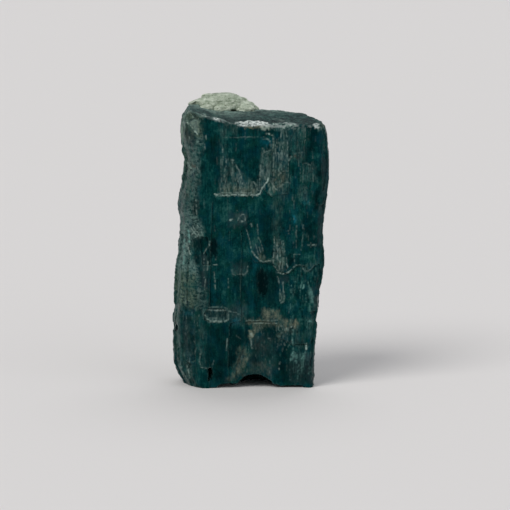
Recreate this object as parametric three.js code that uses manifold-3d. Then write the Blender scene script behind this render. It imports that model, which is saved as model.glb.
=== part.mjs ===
// Kyanite specimen: one thick teal blade standing on its broken lower end, with a crust of pale
// green-white mica grown on its upper back. Millimetres, +Z up, the broad cleavage face looks along -Y.
// The origin is the centre of the bounding box at the level of the base.
import * as THREE from "three";
import { mergeVertices } from "three/addons/utils/BufferGeometryUtils.js";
import Module from "manifold-3d";

const wasm = await Module();
wasm.setup();

// ---- Driving dimensions ----
const HALF_WIDTH = 14.5; // half the width of the plan, before the flanks bulge or draw in
const DEPTH = 15.6; // front cleavage face to the furthest point of the back
const BLANK_HEIGHT = 58; // the uncut blade, before its upper end is broken off
const SLICES = 44; // steps along the blade in which its flanks bulge and draw in
const TOP_HEIGHT = 49.8; // the main upper break, at the long axis
const SHOULDER_HEIGHT = 52.1; // the higher left shoulder of the upper break
const STEP_DEPTH = 0.25; // one missing cleavage sheet
const GAP = 0.3; // clearance between the blade and the crust behind it
const TEAL = 0x0f3d40;
const SAGE = 0x95a090;

// Plan of the blade, front face first, as [x, y] with y measured back from the front face.
const PLAN = [
  [-9.8, 0],
  [-2.6, 0.1],
  [6.5, 0],
  [13.0, 0.1],
  [14.3, 1.2],
  [HALF_WIDTH, 2.8],
  [13.2, 6.2],
  [11.0, 8.6],
  [10.4, 10.2],
  [6.4, 12.6],
  [5.6, 13.6],
  [-0.6, 15.0],
  [-2.2, 15.5],
  [-7.4, DEPTH],
  [-11.2, 13.8],
  [-12.0, 12.4],
  [-14.0, 9.4],
  [-HALF_WIDTH, 5.6],
  [-13.4, 2.6],
  [-11.6, 0.9],
];

// Reach of each flank from the long axis at heights up the blade, as [z, reach].
const LEFT_FLANK = [
  [0, 12.2],
  [1, 12.7],
  [2.5, 13.5],
  [4.2, 14.2],
  [8, 14.3],
  [12, 14.5],
  [14.3, 14.1],
  [17.8, 14.2],
  [22.3, 13.8],
  [25.8, 13.2],
  [31, 13.0],
  [33.2, 13.6],
  [36, 13.1],
  [40.3, 12.2],
  [42.5, 11.9],
  [44.5, 12.6],
  [47.4, 13.0],
  [BLANK_HEIGHT, 12.4],
];
const RIGHT_FLANK = [
  [0, 11.6],
  [6.2, 11.7],
  [10.3, 12.1],
  [14.4, 12.7],
  [18.3, 12.8],
  [20.1, 13.3],
  [23.6, 13.7],
  [28.5, 13.5],
  [33, 13.7],
  [36, 14.2],
  [40.1, 14.7],
  [43.7, 14.5],
  [47.8, 14.1],
  [BLANK_HEIGHT, 13.4],
];
// Depth of the back along the blade, as [z, share of the full depth].
const BACK_SWELL = [
  [0, 0.93],
  [6, 0.98],
  [16, 1],
  [27, 0.96],
  [38, 0.99],
  [46, 1],
  [BLANK_HEIGHT, 1],
];
// Lumps of the mica crust, as [centre, radii]: a dome on the upper rim, then down the back.
const MICA_LUMPS = [
  [[-5.2, 15.2, 49.9], [4.9, 2.3, 3.5]],
  [[-8.2, 14.2, 49.8], [3.2, 2.2, 2.7]],
  [[-1.2, 14.8, 49.4], [2.8, 1.9, 2.2]],
  [[-5.2, 15.0, 45.6], [6.4, 2.2, 5.4]],
  [[-8.6, 13.8, 45.2], [3.8, 2.4, 4.6]],
  [[-2.2, 14.6, 44.6], [4.0, 2.0, 4.6]],
  [[-6.0, 14.9, 41.6], [4.4, 1.8, 4.0]],
];

// ---- Solids ----
function solidFrom(geometry) {
  const bare = geometry.clone();
  bare.deleteAttribute("normal");
  bare.deleteAttribute("uv");
  const merged = mergeVertices(bare, 1e-4);
  return new wasm.Manifold(
    new wasm.Mesh({
      numProp: 3,
      vertProperties: merged.attributes.position.array,
      triVerts: new Uint32Array(merged.index.array),
    }),
  );
}

function geometryFrom(solid) {
  const { vertProperties, triVerts } = solid.getMesh();
  const geometry = new THREE.BufferGeometry();
  geometry.setAttribute("position", new THREE.BufferAttribute(vertProperties, 3));
  geometry.setIndex(new THREE.BufferAttribute(triVerts, 1));
  geometry.computeVertexNormals();
  return geometry;
}

const degrees = THREE.MathUtils.degToRad;

// A box of size [x, y, z], turned by [x, y, z] degrees, with its centre at place.
function block(size, place, turn = [0, 0, 0]) {
  const box = new THREE.BoxGeometry(...size);
  const rotation = new THREE.Euler(...turn.map(degrees));
  box.applyMatrix4(new THREE.Matrix4().makeRotationFromEuler(rotation));
  return solidFrom(box.translate(...place));
}

// An ellipsoid with few facets, for scooped breaks and rounded lumps.
function pebble(radii, place, detail = 2) {
  const ball = new THREE.IcosahedronGeometry(1, detail);
  return solidFrom(ball.scale(...radii).translate(...place));
}

// A sheet seen from the front: outline [x, z] points, standing from y = front to y = back.
function sheet(outline, front, back) {
  const shape = new THREE.Shape(outline.map(([x, z]) => new THREE.Vector2(x, z)));
  const slab = new THREE.ExtrudeGeometry(shape, { depth: back - front, bevelEnabled: false });
  return solidFrom(slab.rotateX(Math.PI / 2).translate(0, back, 0));
}

function alongHeight(profile, z) {
  const above = profile.findIndex(([height]) => height >= z);
  if (above <= 0) return profile[0][1];
  const [lowZ, low] = profile[above - 1];
  const [highZ, high] = profile[above];
  return THREE.MathUtils.mapLinear(z, lowZ, highZ, low, high);
}

// ---- Kyanite blade ----
function bladeBlank() {
  const plan = new THREE.Shape(PLAN.map(([x, y]) => new THREE.Vector2(x, y)));
  const blank = new THREE.ExtrudeGeometry(plan, {
    depth: BLANK_HEIGHT,
    steps: SLICES,
    bevelEnabled: false,
  });
  const place = blank.attributes.position;
  for (let i = 0; i < place.count; i++) {
    const [x, y, z] = [place.getX(i), place.getY(i), place.getZ(i)];
    const reach = alongHeight(x < 0 ? LEFT_FLANK : RIGHT_FLANK, z) / HALF_WIDTH;
    const drawnIn = 1 + (reach - 1) * THREE.MathUtils.smoothstep(Math.abs(x), 5, HALF_WIDTH);
    place.setX(i, x * drawnIn);
    if (y > DEPTH / 2) place.setY(i, y * alongHeight(BACK_SWELL, z));
  }
  return solidFrom(blank);
}

// The upper end: a level break, with a ramp that rises from it to the left shoulder.
function upperBreak() {
  const reach = 60;
  const above = (x, z, turn) => {
    const space = new THREE.BoxGeometry(reach, reach, reach).translate(0, 0, reach / 2);
    const rotation = new THREE.Euler(...turn.map(degrees));
    space.applyMatrix4(new THREE.Matrix4().makeRotationFromEuler(rotation));
    return solidFrom(space.translate(x, 0, z));
  };
  const levelBreak = above(0, TOP_HEIGHT, [2.7, 0.8, 0]);
  const ramp = above(-3, TOP_HEIGHT, [-0.6, 15.5, 0]);
  const shoulder = above(-10.5, SHOULDER_HEIGHT, [-2.5, 2, 0]);
  return levelBreak.intersect(ramp).add(shoulder);
}

// Facets broken from the corners and the rim of the upper end.
function upperChips() {
  return [
    block([7, 6, 8], [-14.6, -0.6, 51.6], [18, -34, 30]), // left front corner
    block([4, 14, 6], [-13.9, 8, 51.5], [0, 34, 0]), // left shoulder
    block([4, 3, 3.2], [15.2, 0.4, 50.6], [24, 40, -20]), // right front corner
    block([6.2, 1.2, 1.2], [-0.4, -0.2, 50.1], [45, 0, 0]), // splintered middle of the rim
    block([2.6, 1, 1], [4.4, -0.2, 50], [45, 0, 4]),
    block([6, 0.8, 0.8], [9.2, -0.15, 49.7], [45, 1, 0]),
  ];
}

// Cleavage sheets missing from the front face, each one deeper than the one above it.
function missingSheets() {
  const clear = -3; // in front of the face
  const upperLedge = [
    [-6.9, 36.7],
    [0.6, 36.6],
    [1.4, 37],
    [2.4, 38.5],
    [3.1, 37.1],
    [4, 36.3],
    [7.2, 36.8],
    [7.2, 46.8],
    [8.2, 48.5],
    [8.4, 56],
    [18, 56],
    [18, -2],
    [-7.6, -2],
    [-7.4, 19.8],
  ];
  const lowerLedge = [
    [-1.7, 30.6],
    [-0.4, 25.9],
    [0.8, 23.7],
    [4.4, 23.4],
    [5.2, 22],
    [7.2, 21.6],
    [8.4, 23],
    [10.2, 23],
    [11, 21.8],
    [12.2, 23.2],
    [18, 23.7],
    [18, -2],
    [-4.0, -2],
    [-3.9, 12.4],
    [-1.9, 12.8],
  ];
  const footLedge = [
    [-0.9, 12.4],
    [2.6, 12.7],
    [4.8, 12.2],
    [5.2, 9.6],
    [8, 8.2],
    [18, 8.4],
    [18, -2],
    [-3.6, -2],
    [-2.4, 5.3],
    [-0.8, 8.6],
  ];
  return [
    sheet(upperLedge, clear, STEP_DEPTH),
    sheet(lowerLedge, clear, 2 * STEP_DEPTH),
    sheet(footLedge, clear, 3 * STEP_DEPTH),
  ];
}

// Two thicker sheets missing from the rounded back, low down and along its right side.
function missingBackSheets() {
  const lowerBack = [
    [-18, 17.5],
    [-9.2, 19.4],
    [-6.2, 17.0],
    [1.4, 18.4],
    [3.0, 14.2],
    [18, 13],
    [18, -2],
    [-18, -2],
  ];
  const rightBack = [
    [0.8, 60],
    [1.2, 36],
    [2.6, 33],
    [2.8, 22],
    [18, 20.5],
    [18, 60],
  ];
  return [
    sheet(lowerBack, DEPTH - 1.4, DEPTH + 3),
    sheet(rightBack, DEPTH - 2.2, DEPTH + 3),
  ];
}

// Small breaks: the framed pit, the slots, the nick in the left flank and the scooped foot.
function smallBreaks() {
  const framedPit = [
    [-8.4, 12.9],
    [-7.8, 12.4],
    [-5, 12.4],
    [-4.4, 13.1],
    [-4.5, 14.5],
    [-5.1, 15],
    [-7.9, 15],
    [-8.5, 14.1],
  ];
  return [
    sheet(framedPit, -3, 0.55),
    block([0.5, 2, 2.4], [-7.6, 0, 2.6], [0, 5, 0]), // slot at the foot
    block([1.3, 1.6, 5.4], [-8.2, -0.4, 25.9], [0, -6, 12]), // dark cleft, left of centre
    block([1.6, 2.2, 1.3], [-14.9, 5.2, 10.9], [0, 30, 0]), // nick in the left flank
    pebble([3.8, 9, 3.1], [0.9, 0, -0.5]), // scoop under the front of the foot, with a wide mouth
    pebble([5.4, 9, 1.7], [1.5, 0, -0.6]),
    pebble([2.6, 5, 0.9], [-3.7, -0.2, 0]),
    pebble([2.8, 3, 0.5], [8, -0.2, 0]),
  ];
}

function kyaniteBlade() {
  const breaks = [
    upperBreak(),
    ...upperChips(),
    ...missingSheets(),
    ...missingBackSheets(),
    ...smallBreaks(),
  ];
  return breaks.reduce((blade, piece) => blade.subtract(piece), bladeBlank());
}

// ---- Mica crust ----
// The crust is cut away wherever it would come closer to the blade than the gap.
function micaCrust(blade) {
  const lumps = MICA_LUMPS.map(([centre, radii]) => pebble(radii, centre));
  const whole = lumps.reduce((crust, lump) => crust.add(lump));
  const clearances = [
    [0, 0, 0],
    [0, GAP, 0],
    [GAP, 0, 0],
    [-GAP, 0, 0],
    [0, 0, GAP],
  ];
  const cleared = clearances.reduce((rest, shift) => rest.subtract(blade.translate(...shift)), whole);
  const bodies = cleared.decompose().sort((a, b) => b.volume() - a.volume());
  return bodies[0]; // without the slivers that the blade cuts off
}

// ---- Assembly ----
function namedMesh(name, solid, colour, roughness) {
  const material = new THREE.MeshStandardMaterial({ color: colour, roughness, metalness: 0 });
  const mesh = new THREE.Mesh(geometryFrom(solid), material);
  mesh.name = name;
  return mesh;
}

const blade = kyaniteBlade();
const specimen = new THREE.Group();
specimen.add(namedMesh("kyanite_blade", blade, TEAL, 0.35));
specimen.add(namedMesh("mica_crust", micaCrust(blade), SAGE, 0.5));

const bounds = new THREE.Box3().setFromObject(specimen);
const centre = bounds.getCenter(new THREE.Vector3());
specimen.position.set(-centre.x, -centre.y, -bounds.min.z);

export default specimen;
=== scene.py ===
import math
import random
import bpy
import numpy as np
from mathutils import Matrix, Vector, noise


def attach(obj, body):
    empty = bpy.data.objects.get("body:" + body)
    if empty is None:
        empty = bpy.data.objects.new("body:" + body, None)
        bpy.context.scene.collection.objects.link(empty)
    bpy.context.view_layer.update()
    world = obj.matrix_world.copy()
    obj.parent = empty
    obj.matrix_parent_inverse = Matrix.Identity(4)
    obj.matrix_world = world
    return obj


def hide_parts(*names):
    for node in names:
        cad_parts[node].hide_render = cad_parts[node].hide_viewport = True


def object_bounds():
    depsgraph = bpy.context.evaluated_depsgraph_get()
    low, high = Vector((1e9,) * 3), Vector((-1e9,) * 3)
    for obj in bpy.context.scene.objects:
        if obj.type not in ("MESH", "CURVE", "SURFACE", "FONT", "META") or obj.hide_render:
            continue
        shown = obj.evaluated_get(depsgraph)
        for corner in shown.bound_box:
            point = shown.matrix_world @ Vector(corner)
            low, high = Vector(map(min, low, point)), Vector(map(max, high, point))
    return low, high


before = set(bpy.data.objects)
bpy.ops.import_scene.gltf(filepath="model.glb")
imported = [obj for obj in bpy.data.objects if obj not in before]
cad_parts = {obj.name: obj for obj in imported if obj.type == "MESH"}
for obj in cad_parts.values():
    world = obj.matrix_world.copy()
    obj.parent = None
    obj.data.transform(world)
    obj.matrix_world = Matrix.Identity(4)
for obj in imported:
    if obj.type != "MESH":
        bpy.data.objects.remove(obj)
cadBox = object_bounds()
mm = 0.001
front = cadBox[0].y  # the broad cleavage face lies here

# camera and studio
cameraPlan = {
    "lens": 400,  # a long lens keeps the sides of the blade parallel
    "sensor": 36,  # mm
    "viewWidth": 94.444,  # mm across the view at the front face
    "elevation": 10,
    "aimX": 0.84,  # mm, on the front face
    "aimHeight": 25.2,
}


def addCamera(plan):
    aim = Vector((plan["aimX"] * mm, front, plan["aimHeight"] * mm))
    distance = plan["viewWidth"] * plan["lens"] / plan["sensor"] * mm
    tilt = math.radians(plan["elevation"])
    back = Vector((0, -math.cos(tilt), math.sin(tilt)))
    data = bpy.data.cameras.new("studioCamera")
    data.lens = plan["lens"]
    data.sensor_width = plan["sensor"]
    data.clip_start = 0.01
    camera = bpy.data.objects.new("studioCamera", data)
    bpy.context.scene.collection.objects.link(camera)
    camera.location = aim + back * distance
    camera.rotation_euler = (-back).to_track_quat("-Z", "Y").to_euler()
    bpy.context.scene.camera = camera


# wide soft suns light the floor evenly; each shines from its place towards the blade
lamps = {
    "keyLamp": {"place": (-0.55, -0.62, 0.95), "strength": 1.7, "angle": 32, "colour": (1, 0.98, 0.95)},
    "fillLamp": {"place": (0.9, -0.7, 0.45), "strength": 0.45, "angle": 60, "colour": (0.94, 0.97, 1)},
    "topLamp": {"place": (0.1, 0.5, 0.9), "strength": 0.7, "angle": 45, "colour": (1, 1, 1)},
}
roomPlan = {
    "sky": (0.86, 0.86, 0.88),
    "skyStrength": 0.38,
    "floor": (0.7, 0.69, 0.69),
    "floorSize": 12,
    "floorRoughness": 0.9,
    "floorSpecular": 0.05,
}


def addLamp(name, plan):
    data = bpy.data.lights.new(name, "SUN")
    data.energy = plan["strength"]
    data.angle = math.radians(plan["angle"])
    data.color = plan["colour"]
    lamp = bpy.data.objects.new(name, data)
    bpy.context.scene.collection.objects.link(lamp)
    lamp.location = plan["place"]
    lamp.rotation_euler = (-lamp.location).to_track_quat("-Z", "Y").to_euler()


def addRoom(plan):
    world = bpy.data.worlds.new("studioWorld")
    bpy.context.scene.world = world
    world.use_nodes = True
    sky = world.node_tree.nodes["Background"]
    sky.inputs["Color"].default_value = (*plan["sky"], 1)
    sky.inputs["Strength"].default_value = plan["skyStrength"]
    bpy.ops.mesh.primitive_plane_add(size=plan["floorSize"], location=(0, 0, 0))
    floor = bpy.context.object
    floor.name = "floor"
    paint = bpy.data.materials.new("paleFloor")
    paint.use_nodes = True
    matte = paint.node_tree.nodes["Principled BSDF"]
    matte.inputs["Base Color"].default_value = (*plan["floor"], 1)
    matte.inputs["Roughness"].default_value = plan["floorRoughness"]
    matte.inputs["Specular IOR Level"].default_value = plan["floorSpecular"]
    floor.data.materials.append(paint)


bpy.context.scene.view_settings.view_transform = "Standard"
addCamera(cameraPlan)
for name, plan in lamps.items():
    addLamp(name, plan)
addRoom(roomPlan)
print("studio ready")


def onlySelect(piece):
    bpy.ops.object.select_all(action="DESELECT")
    piece.select_set(True)
    bpy.context.view_layer.objects.active = piece


def copyOfNode(nodeName, pieceName):
    piece = bpy.data.objects.new(pieceName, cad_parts[nodeName].data.copy())
    bpy.context.scene.collection.objects.link(piece)
    piece.data.materials.clear()
    onlySelect(piece)
    bpy.ops.object.mode_set(mode="EDIT")
    bpy.ops.mesh.select_all(action="SELECT")
    bpy.ops.mesh.remove_doubles(threshold=0.002 * mm)
    bpy.ops.object.mode_set(mode="OBJECT")
    return piece


def applyModifier(piece, kind, **settings):
    onlySelect(piece)
    modifier = piece.modifiers.new(kind.lower(), kind)
    for key, value in settings.items():
        setattr(modifier, key, value)
    bpy.ops.object.modifier_apply(modifier=modifier.name)


def triangleCount(piece):
    return sum(len(face.vertices) - 2 for face in piece.data.polygons)


def node(tree, kind, **settings):
    made = tree.nodes.new(kind)
    for key, value in settings.items():
        setattr(made, key, value)
    return made


def fill(tree, socket, value):
    if isinstance(value, bpy.types.NodeSocket):
        tree.links.new(value, socket)
    else:
        socket.default_value = value


def maths(tree, operation, first, second=0.0, clamp=False):
    made = node(tree, "ShaderNodeMath", operation=operation, use_clamp=clamp)
    fill(tree, made.inputs[0], first)
    fill(tree, made.inputs[1], second)
    return made.outputs[0]


def scaledBy(tree, vector, scale):
    made = node(tree, "ShaderNodeVectorMath", operation="MULTIPLY")
    tree.links.new(vector, made.inputs[0])
    made.inputs[1].default_value = scale
    return made.outputs[0]


def meshArray(piece, what, width):
    source = piece.data.vertices
    values = np.zeros(len(source) * width, np.float32)
    source.foreach_get(what, values)
    return values.reshape(-1, width)


def smooth(low, high, value):
    t = np.clip((value - low) / (high - low), 0, 1)
    return t * t * (3 - 2 * t)


def wander(places, size, seed):
    scaled = places * np.array([1 / (edge * mm) for edge in size]) + np.array([seed, 0, 0])
    return np.array([noise.noise(place) for place in scaled.tolist()])


def keepLayer(piece, name, values):
    attribute = piece.data.attributes.new(name, "FLOAT", "POINT")
    attribute.data.foreach_set("value", np.asarray(values, np.float32))


# the front cleavage face stays nearly plane, the base stays flat, the top breaks across the sheets:
# axis, shift and slope of the ramp that tells each apart
facingPlan = {
    "front": (1, 0.6, -2.5),
    "base": (2, 0.6, -2.5),
    "top": (2, -0.45, 4),
}


# the relief that every broken or grown surface gets
def reliefTree(name, plan):
    tree = bpy.data.node_groups.new(name, "GeometryNodeTree")
    tree.interface.new_socket("Geometry", in_out="INPUT", socket_type="NodeSocketGeometry")
    tree.interface.new_socket("Geometry", in_out="OUTPUT", socket_type="NodeSocketGeometry")
    start, end = tree.nodes.new("NodeGroupInput"), tree.nodes.new("NodeGroupOutput")
    place = tree.nodes.new("GeometryNodeInputPosition").outputs[0]
    normal = tree.nodes.new("GeometryNodeInputNormal").outputs[0]

    def stretched(size):
        return scaledBy(tree, place, [1 / (edge * mm) for edge in size])

    def cellSteps(size, height):
        # the wobble bends the edges of the cells a little
        wobble = node(tree, "ShaderNodeTexNoise")
        tree.links.new(stretched(plan["wobbleSize"]), wobble.inputs["Vector"])
        wobble.inputs["Scale"].default_value = 1
        wobble.inputs["Detail"].default_value = 3
        bent = node(tree, "ShaderNodeVectorMath", operation="MULTIPLY_ADD")
        tree.links.new(wobble.outputs["Color"], bent.inputs[0])
        bent.inputs[1].default_value = [plan["wobble"]] * 3
        tree.links.new(stretched(size), bent.inputs[2])
        cells = node(tree, "ShaderNodeTexVoronoi", distance="CHEBYCHEV")
        tree.links.new(bent.outputs[0], cells.inputs["Vector"])
        cells.inputs["Scale"].default_value = 1
        shade = node(tree, "ShaderNodeSeparateXYZ")
        tree.links.new(cells.outputs["Color"], shade.inputs[0])
        return maths(tree, "MULTIPLY", maths(tree, "SUBTRACT", shade.outputs[0], 0.5), height * mm)

    def unevenness(size, height, detail=2):
        cloud = node(tree, "ShaderNodeTexNoise")
        tree.links.new(stretched(size), cloud.inputs["Vector"])
        cloud.inputs["Scale"].default_value = 1
        cloud.inputs["Detail"].default_value = detail
        return maths(tree, "MULTIPLY", maths(tree, "SUBTRACT", cloud.outputs[0], 0.5), height * mm)

    facing = node(tree, "ShaderNodeSeparateXYZ")
    tree.links.new(normal, facing.inputs[0])

    def facingShare(axis, shift, slope):
        return maths(tree, "MULTIPLY", maths(tree, "ADD", facing.outputs[axis], shift), slope, clamp=True)

    ways = ("front", "base", "top")
    towardsFront, towardsBase, towardsTop = (facingShare(*facingPlan[way]) for way in ways)
    sides = maths(tree, "ADD", cellSteps(plan["cellSize"], plan["cellStep"]),
                  unevenness(plan["swellSize"], plan["swellHeight"], 1))
    keptPlane = maths(tree, "MULTIPLY", towardsFront, 1 - plan["frontShare"])
    sides = maths(tree, "ADD", sides, unevenness(plan["lumpSize"], plan["lumpHeight"]))
    sides = maths(tree, "MULTIPLY", sides, maths(tree, "SUBTRACT", 1, keptPlane))
    sides = maths(tree, "ADD", sides, unevenness(plan["fibreSize"], plan["fibreHeight"]))
    top = maths(tree, "ADD", unevenness(plan["layerSize"], plan["layerHeight"]),
                unevenness(plan["hillSize"], plan["hillHeight"], 1))
    sides = maths(tree, "MULTIPLY", sides, maths(tree, "SUBTRACT", 1, towardsTop))
    height = maths(tree, "ADD", sides, maths(tree, "MULTIPLY", top, towardsTop))
    height = maths(tree, "ADD", height, unevenness(plan["grainSize"], plan["grainHeight"], 3))
    height = maths(tree, "MULTIPLY", height, maths(tree, "SUBTRACT", 1, towardsBase))
    offset = node(tree, "ShaderNodeVectorMath", operation="SCALE")
    tree.links.new(normal, offset.inputs[0])
    tree.links.new(height, offset.inputs["Scale"])
    move = tree.nodes.new("GeometryNodeSetPosition")
    tree.links.new(start.outputs[0], move.inputs["Geometry"])
    tree.links.new(offset.outputs[0], move.inputs["Offset"])
    tree.links.new(move.outputs[0], end.inputs[0])
    return tree


edgeAndHollowShadePlan = {
    # how far a point stands out of its neighbours, where the paler edge sets in and is full, or lies below
    # them, where the painted shade of a hollow sets in and is full
    "edge": (0.025, 0.16),
    "hollow": (0.02, 0.14),
    "evening": 2,
}


def markEdges(piece, plan):
    # how far each point stands out of its neighbours, as a share of their distance
    places, normals = meshArray(piece, "co", 3), meshArray(piece, "normal", 3)
    pairs = np.zeros(len(piece.data.edges) * 2, np.int32)
    piece.data.edges.foreach_get("vertices", pairs)
    first, second = pairs.reshape(-1, 2).T
    spans = np.linalg.norm(places[first] - places[second], axis=1)

    def overNeighbours(values):
        total = np.zeros((len(places), *values.shape[2:]))
        np.add.at(total, first, values[1])
        np.add.at(total, second, values[0])
        return total

    count = np.maximum(overNeighbours(np.ones((2, len(first)))), 1)
    around = overNeighbours(np.stack([places[first], places[second]])) / count[:, None]
    spacing = overNeighbours(np.stack([spans, spans])) / count
    proud = ((places - around) * normals).sum(axis=1) / spacing
    for _ in range(plan["evening"]):
        proud = (proud + overNeighbours(np.stack([proud[first], proud[second]])) / count) / 2
    # the edge layer pales what stands out; the hollow layer is painted shade in what lies below
    keepLayer(piece, "edge", smooth(*plan["edge"], proud))
    keepLayer(piece, "hollow", smooth(*plan["hollow"], -proud))
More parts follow.
